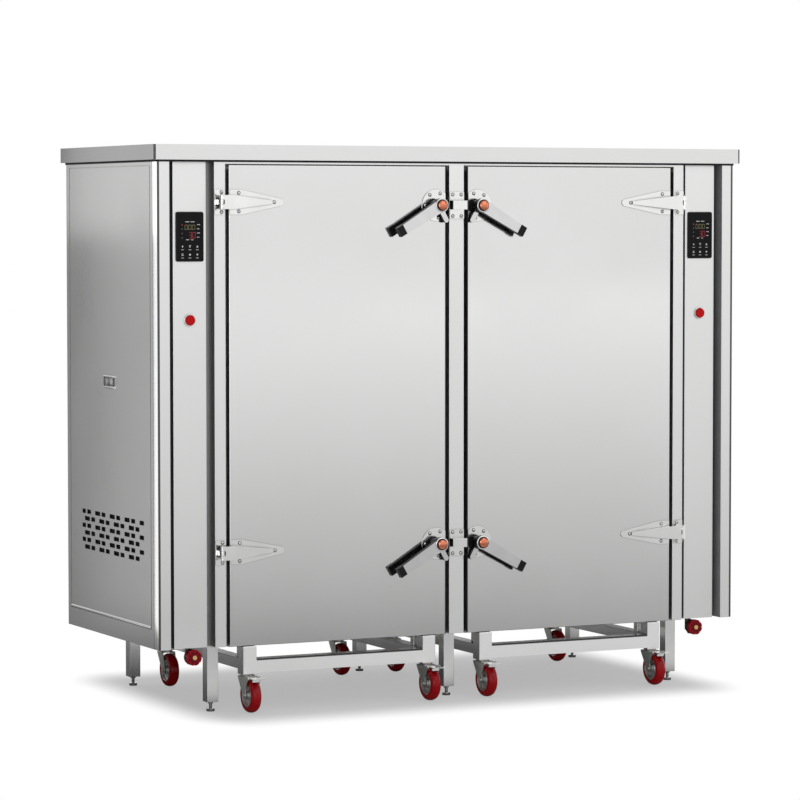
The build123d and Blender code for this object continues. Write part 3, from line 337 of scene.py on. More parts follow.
def finish_mesh(obj, body, angle=35.0):
    """Smooth shading with sharp edges, then the body that the piece belongs to."""
    obj.data.polygons.foreach_set("use_smooth", [True] * len(obj.data.polygons))
    obj.data.set_sharp_from_angle(angle=radians(angle))
    if obj.name not in scene.collection.objects:
        scene.collection.objects.link(obj)
    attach(obj, body)
    return obj


SHORT_EDGE = 0.02
EDGE_ANGLE = 32.0
WELD = 0.000002


def fold_edges(bm, fold):
    """Rounds the long outer edges between two broad faces, as a folded sheet or a drawn tube
    has them. Narrow sheet ends and small holes stay as they are."""
    chosen = []
    for edge in bm.edges:
        if len(edge.link_faces) != 2 or not edge.is_convex:
            continue
        length = edge.calc_length()
        if length < SHORT_EDGE or edge.calc_face_angle() < radians(EDGE_ANGLE):
            continue
        if min(f.calc_area() for f in edge.link_faces) / length < 2.5 * fold:
            continue
        chosen.append(edge)
    if chosen:
        bmesh.ops.bevel(bm, geom=chosen, offset=fold, segments=4, profile=0.5,
                        affect="EDGES", clamp_overlap=True)


def softened(node, width, mats, choose=None, segments=2, fold=0.0):
    """A copy of a solid with its sharp edges rounded over, standing for that solid."""
    mesh = nodes[node].data.copy()
    mesh.materials.clear()
    for mat in mats:
        mesh.materials.append(mat)
    bm = bmesh.new()
    bm.from_mesh(mesh)
    bmesh.ops.remove_doubles(bm, verts=bm.verts, dist=WELD)
    bmesh.ops.dissolve_limit(bm, angle_limit=radians(0.6), verts=bm.verts, edges=bm.edges)
    for face in bm.faces:
        face.material_index = choose(face.calc_center_median(), face.normal) if choose else 0
    if fold:
        fold_edges(bm, fold)
    bm.to_mesh(mesh)
    bm.free()
    obj = bpy.data.objects.new(node + "_finished", mesh)
    finish_mesh(obj, body_of_node[node], EDGE_ANGLE)
    if width:
        mod = obj.modifiers.new("edges", "BEVEL")
        mod.width = width
        mod.segments = segments
        mod.limit_method = "ANGLE"
        mod.angle_limit = radians(EDGE_ANGLE)
        mod.use_clamp_overlap = True
        even = obj.modifiers.new("even", "WEIGHTED_NORMAL")
        even.keep_sharp = True
    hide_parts(node)
    return obj


def turned(bm, profile, centre, steps, axis):
    """Adds a closed section turned about an axis along X or Y, from (offset, radius,
    material) points in millimetres."""
    rings = []
    for offset, radius, _ in profile:
        ring = []
        for i in range(steps):
            a = 2 * pi * i / steps
            w, u, v = offset * MM, radius * MM * cos(a), radius * MM * sin(a)
            shift = (w, u, v) if axis == "x" else (u, w, v)
            ring.append(bm.verts.new(tuple(c + s for c, s in zip(centre, shift))))
        rings.append(ring)
    for k, ring in enumerate(rings):
        after = rings[(k + 1) % len(rings)]
        for i in range(steps):
            j = (i + 1) % steps
            face = bm.faces.new((ring[i], ring[j], after[j], after[i]))
            face.material_index = profile[k][2]


def extruded(bm, section, low, high, axis):
    """Adds a closed section carried along an axis: (y, z) along x, (x, z) along y or
    (x, y) along z."""
    ends = []
    for place in (low, high):
        ring = []
        for u, v in section:
            point = {"x": (place, u, v), "y": (u, place, v), "z": (u, v, place)}[axis]
            ring.append(bm.verts.new(point))
        ends.append(ring)
    count = len(section)
    bm.faces.new(ends[0])
    bm.faces.new(list(reversed(ends[1])))
    for i in range(count):
        j = (i + 1) % count
        bm.faces.new((ends[0][j], ends[0][i], ends[1][i], ends[1][j]))


def from_bmesh(name, bm, mats):
    """An object with the materials given, from finished geometry."""
    bmesh.ops.recalc_face_normals(bm, faces=bm.faces)
    mesh = bpy.data.meshes.new(name)
    bm.to_mesh(mesh)
    bm.free()
    for mat in mats:
        mesh.materials.append(mat)
    return bpy.data.objects.new(name, mesh)


def lathe(name, profile, centre, mats, axis="x"):
    """One turned piece."""
    bm = bmesh.new()
    turned(bm, profile, centre, 72, axis)
    return from_bmesh(name, bm, mats)


def trim(name, parts, mat, body, angle=35.0):
    """One piece of thin trim made of several extruded sections, each with its two ends and
    its axis."""
    bm = bmesh.new()
    for section, low, high, axis in parts:
        extruded(bm, section, low, high, axis)
    return finish_mesh(from_bmesh(name, bm, [mat]), body, angle)


def placed(section, u, v, side=1):
    """A section given in millimetres about a point at u, v. Side -1 mirrors it to -u."""
    return [(side * (u + a * MM), v + b * MM) for a, b in section]


# Screws: the head and a dark washer, painted shade round the head, as (offset, radius, material)
# points
PAN_HEAD = ((11.0, 0.2, 0), (11.0, 2.0, 0), (2.5, 2.0, 0), (2.5, 4.4, 0), (1.9, 4.5, 0),
            (1.2, 4.2, 0), (0.6, 3.5, 0), (0.2, 2.6, 0), (0.0, 1.5, 0), (1.2, 1.2, 0),
            (1.2, 0.2, 0))
SHADE_WASHER = ((2.5, 4.2, 1), (2.5, 5.8, 1), (2.1, 5.9, 1), (1.9, 5.6, 1), (1.9, 4.2, 1))


def screws(node):
    """Domed socket heads on dark washers, one at each screw of a node; the washers are painted
    shade round the heads.
    """
    bm = bmesh.new()
    bm.from_mesh(nodes[node].data)
    bmesh.ops.remove_doubles(bm, verts=bm.verts, dist=WELD)
    seen, heads = set(), []
    for start in bm.verts:
        if start in seen:
            continue
        group, todo = [], [start]
        seen.add(start)
        while todo:
            vert = todo.pop()
            group.append(vert.co.copy())
            for edge in vert.link_edges:
                other = edge.other_vert(vert)
                if other not in seen:
                    seen.add(other)
                    todo.append(other)
        low = [min(p[i] for p in group) for i in range(3)]
        high = [max(p[i] for p in group) for i in range(3)]
        heads.append(((low[0] + high[0]) / 2, low[1], (low[2] + high[2]) / 2))
    bm.free()
    made = bmesh.new()
    for centre in heads:
        turned(made, PAN_HEAD, centre, 28, "y")
        turned(made, SHADE_WASHER, centre, 28, "y")
    obj = from_bmesh(node + "_finished", made, [SCREW, SEAL])
    finish_mesh(obj, body_of_node[node], 40)
    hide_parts(node)


# Casters: turned wheels in two materials, bevelled forks and pedals
TYRE_START = 35.9
WHEEL_HALF = ((17.0, 4.1), (17.0, 11.4), (16.2, 12.6), (8.0, 14.2), (6.0, 16.0), (5.6, 29.0),
              (7.2, 31.4), (14.4, 33.2), (15.4, 34.4), (15.2, 36.0), (16.0, 36.2),
              (16.2, 45.0), (15.2, 47.6), (12.6, 50.4), (9.0, 52.4), (4.6, 53.6), (0.0, 54.0))


def wheel_profile():
    """The wheel's closed section from its half, with the tyre's material where both ends of
    an edge lie outside the hub."""
    points = list(WHEEL_HALF) + [(-x, r) for x, r in reversed(WHEEL_HALF[:-1])]
    after = points[1:] + points[:1]
    return [(x, r, 0 if min(r, end) >= TYRE_START else 1)
            for (x, r), (_, end) in zip(points, after)]


for name, sign in SIDES:
    for corner, step in (("outer", 1), ("inner", -1)):
        x = sign * (BAY + step * LEG_OFFSET)
        for end, y in (("front", SWIVEL_FRONT), ("rear", SWIVEL_REAR)):
            label = f"{name}_{end}_{corner}"
            wheel = lathe(label + "_wheel_turned", wheel_profile(), (x, y - TRAIL, WHEEL_R),
                          [TYRE, HUB])
            finish_mesh(wheel, label + "_wheel", 28)
            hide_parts(label + "_wheel")
            softened(label + "_fork", 0.0005, [ZINC])
            if end == "front":
                softened(label + "_brake_pedal", 0.0006, [PEDAL])


# Latches and doors
def lever_material(side, height):
    """Material of a lever's faces: metal in front; black on the moulded end and on every side
    face, a dark core that also stands in as painted shade on the lever's sides.
    """
    def choose(centre, normal):
        inward = LATCH_X - side * centre.x
        along = inward * cos(LEVER_TURN) + (centre.z - height) * sin(LEVER_TURN)
        return 1 if along > GRIP_START - NEAR or normal.y > -0.5 else 0
    return choose


def base_material(centre, normal):
    """Latch bases: the plate, the copper cap, and the wall of the boss in black as painted
    shade.
    """
    if centre.y < LEVER_FACE - NEAR:
        return 1
    return 2 if abs(normal.y) < 0.5 and centre.y < LATCH_PLATE - NEAR else 0


for name, sign in SIDES:
    for level, height in LATCH_Z.items():
        softened(f"{name}_{level}_latch_lever", 0.0012, [LEVER, GRIP_AND_SHADE],
                 lever_material(sign, height), 3)
    softened(f"{name}_latch_bases", 0.0009, [CAST, COPPER, GRIP_AND_SHADE], base_material, 3)
    softened(f"{name}_hinge_straps", 0.0018, [CAST], None, 3)
    softened(f"{name}_door_skin", 0.0004, [DOOR], None, 3, fold=0.0022)
    softened(f"{name}_door_inner_pan", 0.0005, [LINER])
    screws(f"{name}_door_screws")
    softened(f"{name}_push_button", 0.0006, [BUTTON], None, 3)


# Trim on the latches and doors, in millimetres: a domed copper cap with a brown rim and a
# bright hub ring as (offset, radius, material) points, then the sections of a black pad on the
# plate between post and strike and a black lining of a strike's slot, both painted shade, and
# the door's dark edge
CAP_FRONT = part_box("left_latch_bases")[0][1]
CAP = ((3.0, 0.3, 1), (3.0, 17.0, 1), (-0.4, 17.0, 1), (-0.9, 16.6, 1), (-0.9, 14.6, 0),
       (-2.0, 13.6, 0), (-3.2, 11.0, 0), (-4.0, 7.5, 0), (-4.5, 3.5, 0), (-4.6, 0.3, 0))
HUB_RING = ((0.5, 17.4, 0), (-0.9, 17.5, 0), (-1.5, 18.1, 0), (-1.7, 19.6, 0),
            (-1.3, 21.2, 0), (-0.4, 22.2, 0), (0.5, 22.2, 0))
SHADE_PAD = ((41.6, -17.0), (41.6, 15.0), (43.0, 16.4), (59.6, 16.4), (56.4, 9.0), (55.3, 0.0),
       (56.4, -9.0), (60.6, -18.4), (43.0, -18.4))
SHADE_PAD_THICK = 0.004
SLOT_SHADE = ((-24.6, -12.4), (24.6, -12.4), (24.6, 11.4), (-24.6, 11.4))
DOOR_BAND = ((-0.3, 4.0), (-0.3, 0.6), (0.6, -0.4), (2.7, -0.4), (2.7, 4.0))
for name, sign in SIDES:
    door = name + "_door"
    for level, height in LATCH_Z.items():
        cap = lathe(f"{name}_{level}_latch_cap", CAP, (sign * LATCH_X, CAP_FRONT, height),
                    [COPPER, UMBER], "y")
        finish_mesh(cap, door, 50)
        ring = lathe(f"{name}_{level}_latch_hub_ring", HUB_RING,
                     (sign * LATCH_X, LEVER_FACE, height), [CAST], "y")
        finish_mesh(ring, f"{name}_{level}_latch_lever", 50)
        # A black pad of painted shade on the plate between the post and the strike
        trim(f"{name}_{level}_latch_shade_pad",
             [(placed(SHADE_PAD, 0, height, sign), LATCH_PLATE - SHADE_PAD_THICK, LATCH_PLATE + NEAR, "y")],
             GRIP_AND_SHADE, door)
    low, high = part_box(door + "_skin")
    trim(door + "_edge_band",
         [(placed(DOOR_BAND, DOOR_EDGE, FRONT, sign), low[2] + TUCK, high[2] - TUCK, "z")],
         SEAL, door, 50)
for level, height in LATCH_Z.items():
    # A black lining of painted shade in each strike's slot
    trim(level + "_strike_slot_shade",
         [(placed(SLOT_SHADE, 0, height), LATCH_PLATE - TUCK, LATCH_PLATE + NEAR, "y")],
         GRIP_AND_SHADE, "cabinet")


# Drain valve handwheels: red enamel, a brass nut, and dark areas painted on the face as the
# shade of hollows between spokes. A field is given by radii in millimetres and the angle to each
# side of its middle
SHADE_FIELD_COUNT = 8
SHADE_FIELD = ((9.2, 0.24), (13.0, 0.30), (17.5, 0.30), (20.5, 0.15))


def handwheel_material(centre, normal):
    """Handwheels: the nut on the front, and the enamel everywhere else."""
    near_axis = max(abs(abs(centre.x) - VALVE_X), abs(centre.z - VALVE_Z)) < NUT_REACH
    return 1 if near_axis and centre.y < VALVE_FACE - 0.0003 else 0


for name, sign in SIDES:
    softened(f"{name}_valve_handwheel", 0.0022, [ENAMEL, BRASS], handwheel_material, 3)
    shade_fields = []
    for k in range(SHADE_FIELD_COUNT):
        middle = 2 * pi * (k + 0.5) / SHADE_FIELD_COUNT
        outline = [(r, middle - turn) for r, turn in SHADE_FIELD]
        outline += [(r, middle + turn) for r, turn in reversed(SHADE_FIELD)]
        section = placed([(r * cos(a), r * sin(a)) for r, a in outline], sign * VALVE_X, VALVE_Z)
        shade_fields.append((section, VALVE_FACE - 0.0003, VALVE_FACE + TUCK, "y"))
    trim(name + "_handwheel_shade_fields", shade_fields, HOLLOW_SHADE, name + "_valve_handwheel")


# The rest of the cabinet and the trolleys
def cover_material(centre, normal):
    """Top cover: the two end walls take a darker copy of the sheet than the top and the front,
    as painted shade.
    """
    return 1 if abs(normal.x) > 0.8 else 0


def side_material(centre, normal):
    """Side panels: the skin in a darker copy of the sheet as painted shade, the front strip, and
    the return behind the strip in dull grey as painted shade in the groove.
    """
    if abs(centre.x) < STRIP_EDGE + 0.0016 and abs(normal.x) > 0.5:
        return 2
    return 1 if normal.y < -0.5 and centre.y < FRONT + 0.002 else 0


def column_material(centre, normal):
    """Control columns: a bright face, with painted shade on the dark wall in the slit and on the
    darker grooves.
    """
    if centre.y < COLUMN_FACE + 0.0016:
        return 0
    return 2 if abs(centre.x) > CONTROL_X and abs(normal.y) < 0.5 else 1


def frame_material(centre, normal):
    """Front frame: the outer wall of each hinge stile is a wall of the groove, given the
    groove's painted shade.
    """
    return 1 if abs(normal.x) > 0.5 and abs(centre.x) > STILE_OUTER - 0.0006 else 0


def trolley_material(centre, normal):
    """Trolley frames: tube, with a duller front and rear on the long rails."""
    rail = RAIL_LOW < centre.z < RAIL_TOP
    return 1 if rail and abs(normal.z) < 0.5 and abs(normal.x) < 0.5 else 0


softened("top_cover", 0.0004, [COVER, COVER_END_SHADED], cover_material, 3, fold=0.0025)
softened("side_panels", 0.0003, [SIDE_SHADED, SHEET, RETURN_SHADED], side_material, fold=0.0025)
softened("service_panels", 0.0004, [SIDE_SHADED], fold=0.0012)
softened("rear_panel", 0.0, [SHEET])
softened("front_frame", 0.0004, [SHEET, GROOVE_SHADED], frame_material, fold=0.0025)
softened("control_columns", 0.0004, [SHEET, GROOVE_SHADED, PAINTED_DARK], column_material, fold=0.0025)
softened("base_frame", 0.0004, [TUBE], None, 3, fold=0.003)
softened("levelling_feet", 0.0010, [FOOT])
softened("chamber_liners", 0.0, [LINER])
softened("insulation", 0.003, [WOOL])
softened("door_gaskets", 0.0015, [SEAL])
softened("hinge_leaves", 0.0008, [CAST], None, 3)
softened("hinge_pins", 0.0006, [SCREW])
softened("latch_strikes", 0.0008, [CAST], None, 3)
screws("frame_screws")
softened("button_housings", 0.0008, [CAST], None, 3)
softened("drain_valves", 0.0010, [BRONZE])
softened("steam_generators", 0.0008, [TANK_SHADE_JACKET])
softened("trolley_frames", 0.0006, [TUBE, RAIL], trolley_material, 3, fold=0.003)
softened("trolley_racks", 0.0008, [TUBE])
softened("trays", 0.0006, [TRAY])
softened("control_displays", 0.0008, [PLATE], None, 3)


# Thin trim on the cabinet. Each section is in millimetres outward and back, or outward and
# up, about an edge of the solids
RAIL_FACE = SWIVEL_FRONT - LEG_HALF
RAIL_REACH = LEG_OFFSET - LEG_HALF - 0.0003
RAIL_SHADE_EDGE = ((-0.3, -4.6), (-0.3, -0.4), (1.2, 0.3), (4.0, 0.3), (4.0, -4.6))
BEAD = ((-3.0, 0.0), (1.8, 0.0), (2.6, -1.6), (2.6, -4.4), (1.6, -6.0), (-3.0, -6.0))
BEAD_REACH = 0.0026
POST_WIDTH = 0.036
POST_START = FRONT + 0.0018
POST_END = POST_START + POST_WIDTH
POST_LOW = UNDERSIDE + 0.001
POST_TOP = COVER_Z - 0.0062
POST_LIFT = 0.0004
POST_BOW = 0.00035
POST_STEPS = 8
CORNER_SHADE_LINE = ((-6.2, 1.0), (-6.2, -0.5), (-1.0, -0.7), (0.4, -0.2), (0.6, 1.6), (-0.4, 1.8))
BACK_SHADE_LINE = ((-0.4, 0.0), (0.2, 0.2), (0.3, 1.4), (0.2, 2.6), (-0.4, 2.8))
COVER_SHADE_LINE = ((1.7, 2.2), (1.2, -0.2), (0.2, -1.3), (-4.4, -1.8), (-5.0, 3.0))
COVER_FOLD = 0.0016
COVER_SHADE_LOW = COVER_Z + 0.0005
COVER_SHADE_TOP = COVER_Z + 0.0465
CUP_FACE = HALF + 0.0014
CUP_HALF = 0.0425
CUP_END = 0.03925
CUP_RISE = 0.0142
CUP_DROP = 0.0200
CUP_BAR = ((0.0, 5.6), (0.6, 5.4), (3.6, 2.3), (3.7, 1.4), (2.8, 0.2), (0.0, 0.0))
CUP_END_BAR = ((-0.6, -3.25), (1.4, -3.25), (2.2, 0.0), (1.4, 3.25), (-0.6, 3.25))
LIP_Z = UNDERSIDE + 0.062
LIP = ((-0.2, 7.2), (0.5, 6.8), (4.3, 2.7), (4.4, 1.8), (3.5, 0.5), (-0.2, 0.4))
PANEL_FRONT = FRONT + 0.063
PANEL_BACK = BACK - 0.031
VENT_FRONT = FRONT + 0.108
VENT_BACK = FRONT + 0.667
VENT_LOW = 0.458
VENT_HIGH = 0.622
SCREEN_DEPTH = 0.0042
SCREEN_THICK = 0.0008
PLEATS = 70
PLEAT_DEPTH = 0.0022

# A black bead round the body just under the cover: painted shadow of the cover's edge
trim("cover_shade_bead",
     [(placed(BEAD, -FRONT, COVER_Z, -1), -HALF - BEAD_REACH, HALF + BEAD_REACH, "x"),
      (placed(BEAD, BACK, COVER_Z), -HALF - BEAD_REACH, HALF + BEAD_REACH, "x"),
      (placed(BEAD, HALF, COVER_Z, -1), FRONT - BEAD_REACH, BACK + BEAD_REACH, "y"),
      (placed(BEAD, HALF, COVER_Z), FRONT - BEAD_REACH, BACK + BEAD_REACH, "y")],
     SEAL, "cabinet")


def corner_post(side):
    """Section of the slightly bowed bright strip at a front corner of a side panel."""
    curve = []
    for k in range(POST_STEPS + 1):
        t = k / POST_STEPS
        x = HALF + POST_LIFT + POST_BOW * 4 * t * (1 - t)
        curve.append((side * x, POST_START + POST_WIDTH * t))
    return curve + [(side * (HALF - TUCK), POST_END), (side * (HALF - TUCK), POST_START)]


def pleated(side):
    """Section of the pleated black screen behind the vent slots, painted shade seen through
    them.
    """
    outer, inner = [], []
    for k in range(PLEATS + 1):
        y = VENT_FRONT + (VENT_BACK - VENT_FRONT) * k / PLEATS
        depth = SCREEN_DEPTH + PLEAT_DEPTH * (k % 2)
        outer.append((side * (HALF - depth), y))
        inner.append((side * (HALF - depth - SCREEN_THICK), y))
    return outer + inner[::-1]


for name, sign in SIDES:
    # A dark strip along the top front edge of each trolley rail: painted dark reflection
    trim(name + "_rail_shade_edge",
         [(placed(RAIL_SHADE_EDGE, RAIL_FACE, RAIL_TOP), sign * BAY - RAIL_REACH,
           sign * BAY + RAIL_REACH, "x")], PAINTED_DARK, "cabinet", 50)
    trim(name + "_corner_post", [(corner_post(sign), POST_LOW, POST_TOP, "z")], POST,
         "cabinet", 60)
    # Dark lines of painted shade at the front corner and behind the bright corner strip
    trim(name + "_corner_shade_lines",
         [(placed(CORNER_SHADE_LINE, HALF, FRONT, sign), POST_LOW, POST_TOP, "z"),
          (placed(BACK_SHADE_LINE, HALF, POST_END, sign), POST_LOW, POST_TOP, "z")],
         SEAM_SHADE, "cabinet", 50)
    # A dark strip on the cover's front corner: painted shade and dark reflection in its fold
    cover_corner = placed(COVER_SHADE_LINE, HALF + COVER_SIDE_REACH - COVER_FOLD,
                          FRONT - COVER_FRONT_REACH + COVER_FOLD, sign)
    trim(name + "_cover_shade_line", [(cover_corner, COVER_SHADE_LOW, COVER_SHADE_TOP, "z")], PAINTED_DARK,
         "cabinet", 50)
    trim(name + "_cup_rims",
         [(placed(CUP_BAR, CUP_FACE, z, sign), CUP_Y - CUP_HALF, CUP_Y + CUP_HALF, "y")
          for z in (CUP_Z + CUP_RISE, CUP_Z - CUP_DROP)], POST, "cabinet", 40)
    # The cup's ends in dark sheet: painted shade on its side walls
    trim(name + "_cup_ends",
         [(placed(CUP_END_BAR, CUP_FACE, y, sign), CUP_Z - CUP_RISE, CUP_Z + CUP_RISE, "z")
          for y in (CUP_Y - CUP_END, CUP_Y + CUP_END)], SEAM_SHADE, "cabinet", 40)
    trim(name + "_panel_lip", [(placed(LIP, HALF, LIP_Z, sign), PANEL_FRONT, PANEL_BACK, "y")],
         POST, "cabinet", 40)
    trim(name + "_vent_shade_screen", [(pleated(sign), VENT_LOW, VENT_HIGH, "z")], SCREEN_SHADE,
         "cabinet", 20)


# Control plate marks: digits made of bars, small lamps and key signs, all in millimetres
# about the centre of the plate
MARK_DEPTH = 0.00025


def flat_marks(name, outlines, centre_x, mat):
    """Thin raised marks from closed outlines."""
    bm = bmesh.new()
    for outline in outlines:
        section = placed(outline, centre_x, PLATE_Z)
        extruded(bm, section, PLATE_FACE - MARK_DEPTH, PLATE_FACE, "y")
    return finish_mesh(from_bmesh(name, bm, [mat]), "cabinet", 30)


def bar(u0, v0, u1, v1):
    """Outline of an upright rectangle."""
    return [(u0, v0), (u1, v0), (u1, v1), (u0, v1)]


def disc(u, v, radius, count=20):
    """Outline of a disc."""
    return [(u + radius * cos(2 * pi * i / count), v + radius * sin(2 * pi * i / count))
            for i in range(count)]


SEGMENTS = {"0": "abcdef", "3": "abcdg"}
DIGIT_THICK = 1.5
DIGIT_GAP = 0.35
DIGIT_SLANT = 0.6


def digits(chars, u, v, wide, tall, pitch):
    """Bars of a row of slanted seven-bar digits whose lower left corner is at u, v."""
    marks = []
    for char in chars:
        left, right, mid, top = u + DIGIT_THICK, u + wide - DIGIT_THICK, v + tall / 2, v + tall
        spans = {
            "a": (left, top - DIGIT_THICK, right, top),
            "g": (left, mid - DIGIT_THICK / 2, right, mid + DIGIT_THICK / 2),
            "d": (left, v, right, v + DIGIT_THICK),
            "f": (u, mid + DIGIT_GAP, left, top - DIGIT_GAP),
            "b": (right, mid + DIGIT_GAP, u + wide, top - DIGIT_GAP),
            "e": (u, v + DIGIT_GAP, left, mid - DIGIT_GAP),
            "c": (right, v + DIGIT_GAP, u + wide, mid - DIGIT_GAP),
        }
        for key in SEGMENTS[char]:
            marks.append([(a + DIGIT_SLANT * (b - v) / tall, b) for a, b in bar(*spans[key])])
        u += pitch
    return marks


UPPER_ROW = ("000", -17.5, 21.5, 10.0, 15.0, 12.2)
LOWER_ROW = ("30", -3.5, -5.0, 9.8, 19.0, 11.9)
HEADINGS = (bar(-15.5, 44.6, -2.0, 46.6), bar(2.5, 44.6, 15.5, 46.6),
            bar(-12.5, -10.2, -3.0, -8.2), bar(4.0, -10.2, 11.0, -8.6))
SIDE_BARS = [bar(23.5, v - 0.9, 33.5 - cut, v + 0.9)
             for v, cut in ((37.0, 0.0), (24.2, 2.2), (11.4, 0.0), (-1.4, 2.2))]
LAMPS = [disc(-25.5, v, 2.1) for v in (23.5, 10.1, -3.3)]
RED_LAMP = disc(-25.5, 36.0, 2.2)
KEY_CENTRES = [(u, v) for v in (-30.0, -55.0) for u in (-24.5, 0.0, 24.5)]
KEY_LABEL = bar(-4.6, -10.6, 4.6, -9.2)
KEY_SIGNS = (
    [[(0.0, 3.6), (-2.4, 0.0), (0.0, -3.6), (2.4, 0.0)]],
    [bar(-3.6, 2.4, 3.6, 3.8), bar(-2.6, -0.2, 2.6, 1.2), bar(-1.6, -2.8, 1.6, -1.4)],
    [[(-3.8, -2.6), (3.8, -2.6), (0.0, 3.6)]],
    [bar(-3.6, 1.6, 3.6, 3.0), bar(-3.6, -3.0, 3.6, -1.6), bar(-0.8, -1.6, 0.8, 1.6)],
    [disc(0.0, 0.0, 3.0)],
    [[(-3.8, 2.6), (0.0, -3.6), (3.8, 2.6)]],
)
pale_marks = [*HEADINGS, *SIDE_BARS]
for (u, v), signs in zip(KEY_CENTRES, KEY_SIGNS):
    pale_marks += [[(u + a, v + b) for a, b in outline] for outline in [KEY_LABEL, *signs]]
for name, sign in SIDES:
    plate_x = sign * CONTROL_X
    flat_marks(name + "_display_upper_digits", digits(*UPPER_ROW), plate_x, OLIVE)
    flat_marks(name + "_display_lower_digits", digits(*LOWER_ROW) + [RED_LAMP], plate_x, RED)
    flat_marks(name + "_display_marks", pale_marks, plate_x, PALE)
    flat_marks(name + "_display_lamps", LAMPS, plate_x, DIM)


# Floor, world, lights and camera
FLOOR_SIZE = 60.0
# The cabinet's outline on the floor, from which the distances are measured
OUTLINE_X = 1.0
OUTLINE_Y = 0.40
# The painted shadow, a grey field that the camera sees under the part: its core, its edge and
# its level
SHADOW_X = (0.78, 1.00)
SHADOW_Y = (0.40, 0.73)
SHADOW_CENTRE_Y = 0.03
SHADOW_CORE = 0.12
SHADOW_SHARE = 0.75
SHADOW_LEVEL = 0.57
# Painted light and shade on the floor that only polished metal sees: a glow whose level grows
# with distance in front, a painted lit ground close by, and a painted dimmer ground behind and
# to the left
MIRROR_GAIN = 0.60
MIRROR_NEAR = 0.16
MIRROR_LIT = 0.62
MIRROR_SHARE = 0.80


def white_view(tree, place, shader):
    """What the camera sees: a white floor, with a soft grey painted shadow under the part
    that is mixed with the part's real shadow."""
    across = maths(tree, "ABSOLUTE", place.outputs["X"])
    along = maths(tree, "ABSOLUTE",
                  maths(tree, "SUBTRACT", place.outputs["Y"], SHADOW_CENTRE_Y))
    squares = maths(tree, "ADD",
                    maths(tree, "POWER", ranged(tree, across, *SHADOW_X, 0.0, 1.0), 2.0),
                    maths(tree, "POWER", ranged(tree, along, *SHADOW_Y, 0.0, 1.0), 2.0))
    edge = maths(tree, "SQRT", squares)
    glow = tree.nodes.new("ShaderNodeEmission")
    tree.links.new(ranged(tree, edge, SHADOW_CORE, 1.0, SHADOW_LEVEL, 1.0, True),
                   glow.inputs["Strength"])
    path = tree.nodes.new("ShaderNodeLightPath")
    share = maths(tree, "MULTIPLY", path.outputs["Is Camera Ray"],
                  ranged(tree, edge, SHADOW_CORE, 1.0, SHADOW_SHARE, 1.0, True))
    return add_node(tree, "ShaderNodeMixShader", None, share, shader.outputs[0],
                    glow.outputs[0])


def mirror_level(tree, coords, place):
    """How bright the floor's painted glow is in the part's polished faces: painted light and
    shade seen only in reflections.
    """
    across = maths(tree, "ABSOLUTE", place.outputs["X"])
    along = maths(tree, "ABSOLUTE", place.outputs["Y"])
    out_x = maths(tree, "MAXIMUM", maths(tree, "SUBTRACT", across, OUTLINE_X), 0.0)
    out_y = maths(tree, "MAXIMUM", maths(tree, "SUBTRACT", along, OUTLINE_Y), 0.0)
    away = maths(tree, "SQRT", maths(tree, "ADD", maths(tree, "POWER", out_x, 2.0),
                                     maths(tree, "POWER", out_y, 2.0)))
    distance = add_node(tree, "ShaderNodeVectorMath", "LENGTH", coords.outputs["Object"])
    reach = maths(tree, "LOGARITHM", distance.outputs["Value"], 10.0)
    level = maths(tree, "MULTIPLY_ADD", reach, MIRROR_GAIN, MIRROR_NEAR)
    lit = ranged(tree, away, 1.50, 0.50, 0.0, MIRROR_LIT, True)
    close = ranged(tree, away, 0.04, 0.30, 0.10, 1.0, True)
    ahead = maths(tree, "MULTIPLY", maths(tree, "MAXIMUM", level, lit), close)
    behind = maths(tree, "MULTIPLY", ranged(tree, away, 0.45, 1.60, 0.0, 1.0, True),
                   ranged(tree, place.outputs["X"], -0.95, 0.40, 0.10, 0.75, True))
    shown = tree.nodes.new("ShaderNodeMix")
    shown.data_type = "FLOAT"
    forward = ranged(tree, place.outputs["Y"], 0.40, -0.70, 0.0, 1.0, True)
    tree.links.new(forward, shown.inputs["Factor"])
    tree.links.new(behind, shown.inputs["A"])
    tree.links.new(ahead, shown.inputs["B"])
    return shown.outputs[0]


def floor():
    """A plain pale floor, white to the camera, with a painted shadow under the part and a
    painted glow that only reflections see.
    """
    mesh = bpy.data.meshes.new("floor")
    corners = [(-1, -1), (1, -1), (1, 1), (-1, 1)]
    mesh.from_pydata([(x * FLOOR_SIZE, y * FLOOR_SIZE, 0) for x, y in corners],
                     [], [(0, 1, 2, 3)])
    obj = bpy.data.objects.new("floor", mesh)
    scene.collection.objects.link(obj)
    mat, shader = material("floor_pale", (0.80, 0.80, 0.80), 0.0, 0.9)
    tint(mat, noise(mat, 3.0, 2.0), (0.79, 0.79, 0.79), (0.81, 0.81, 0.81))
    tree = mat.node_tree
    coords = tree.nodes.new("ShaderNodeTexCoord")
    place = add_node(tree, "ShaderNodeSeparateXYZ", None, coords.outputs["Object"])
    # A glow that only reflections see: painted light and shade on the floor
    seen = tree.nodes.new("ShaderNodeEmission")
    tree.links.new(mirror_level(tree, coords, place), seen.inputs["Strength"])
    path = tree.nodes.new("ShaderNodeLightPath")
    glossy = maths(tree, "MULTIPLY", path.outputs["Is Glossy Ray"], MIRROR_SHARE)
    view = white_view(tree, place, shader)
    total = add_node(tree, "ShaderNodeMixShader", None, glossy, view.outputs[0],
                     seen.outputs[0])
    tree.links.new(total.outputs[0], tree.nodes["Material Output"].inputs["Surface"])
    mesh.materials.append(mat)


floor()

DIM_CORNER = (-0.93, 0.37, 0.0)


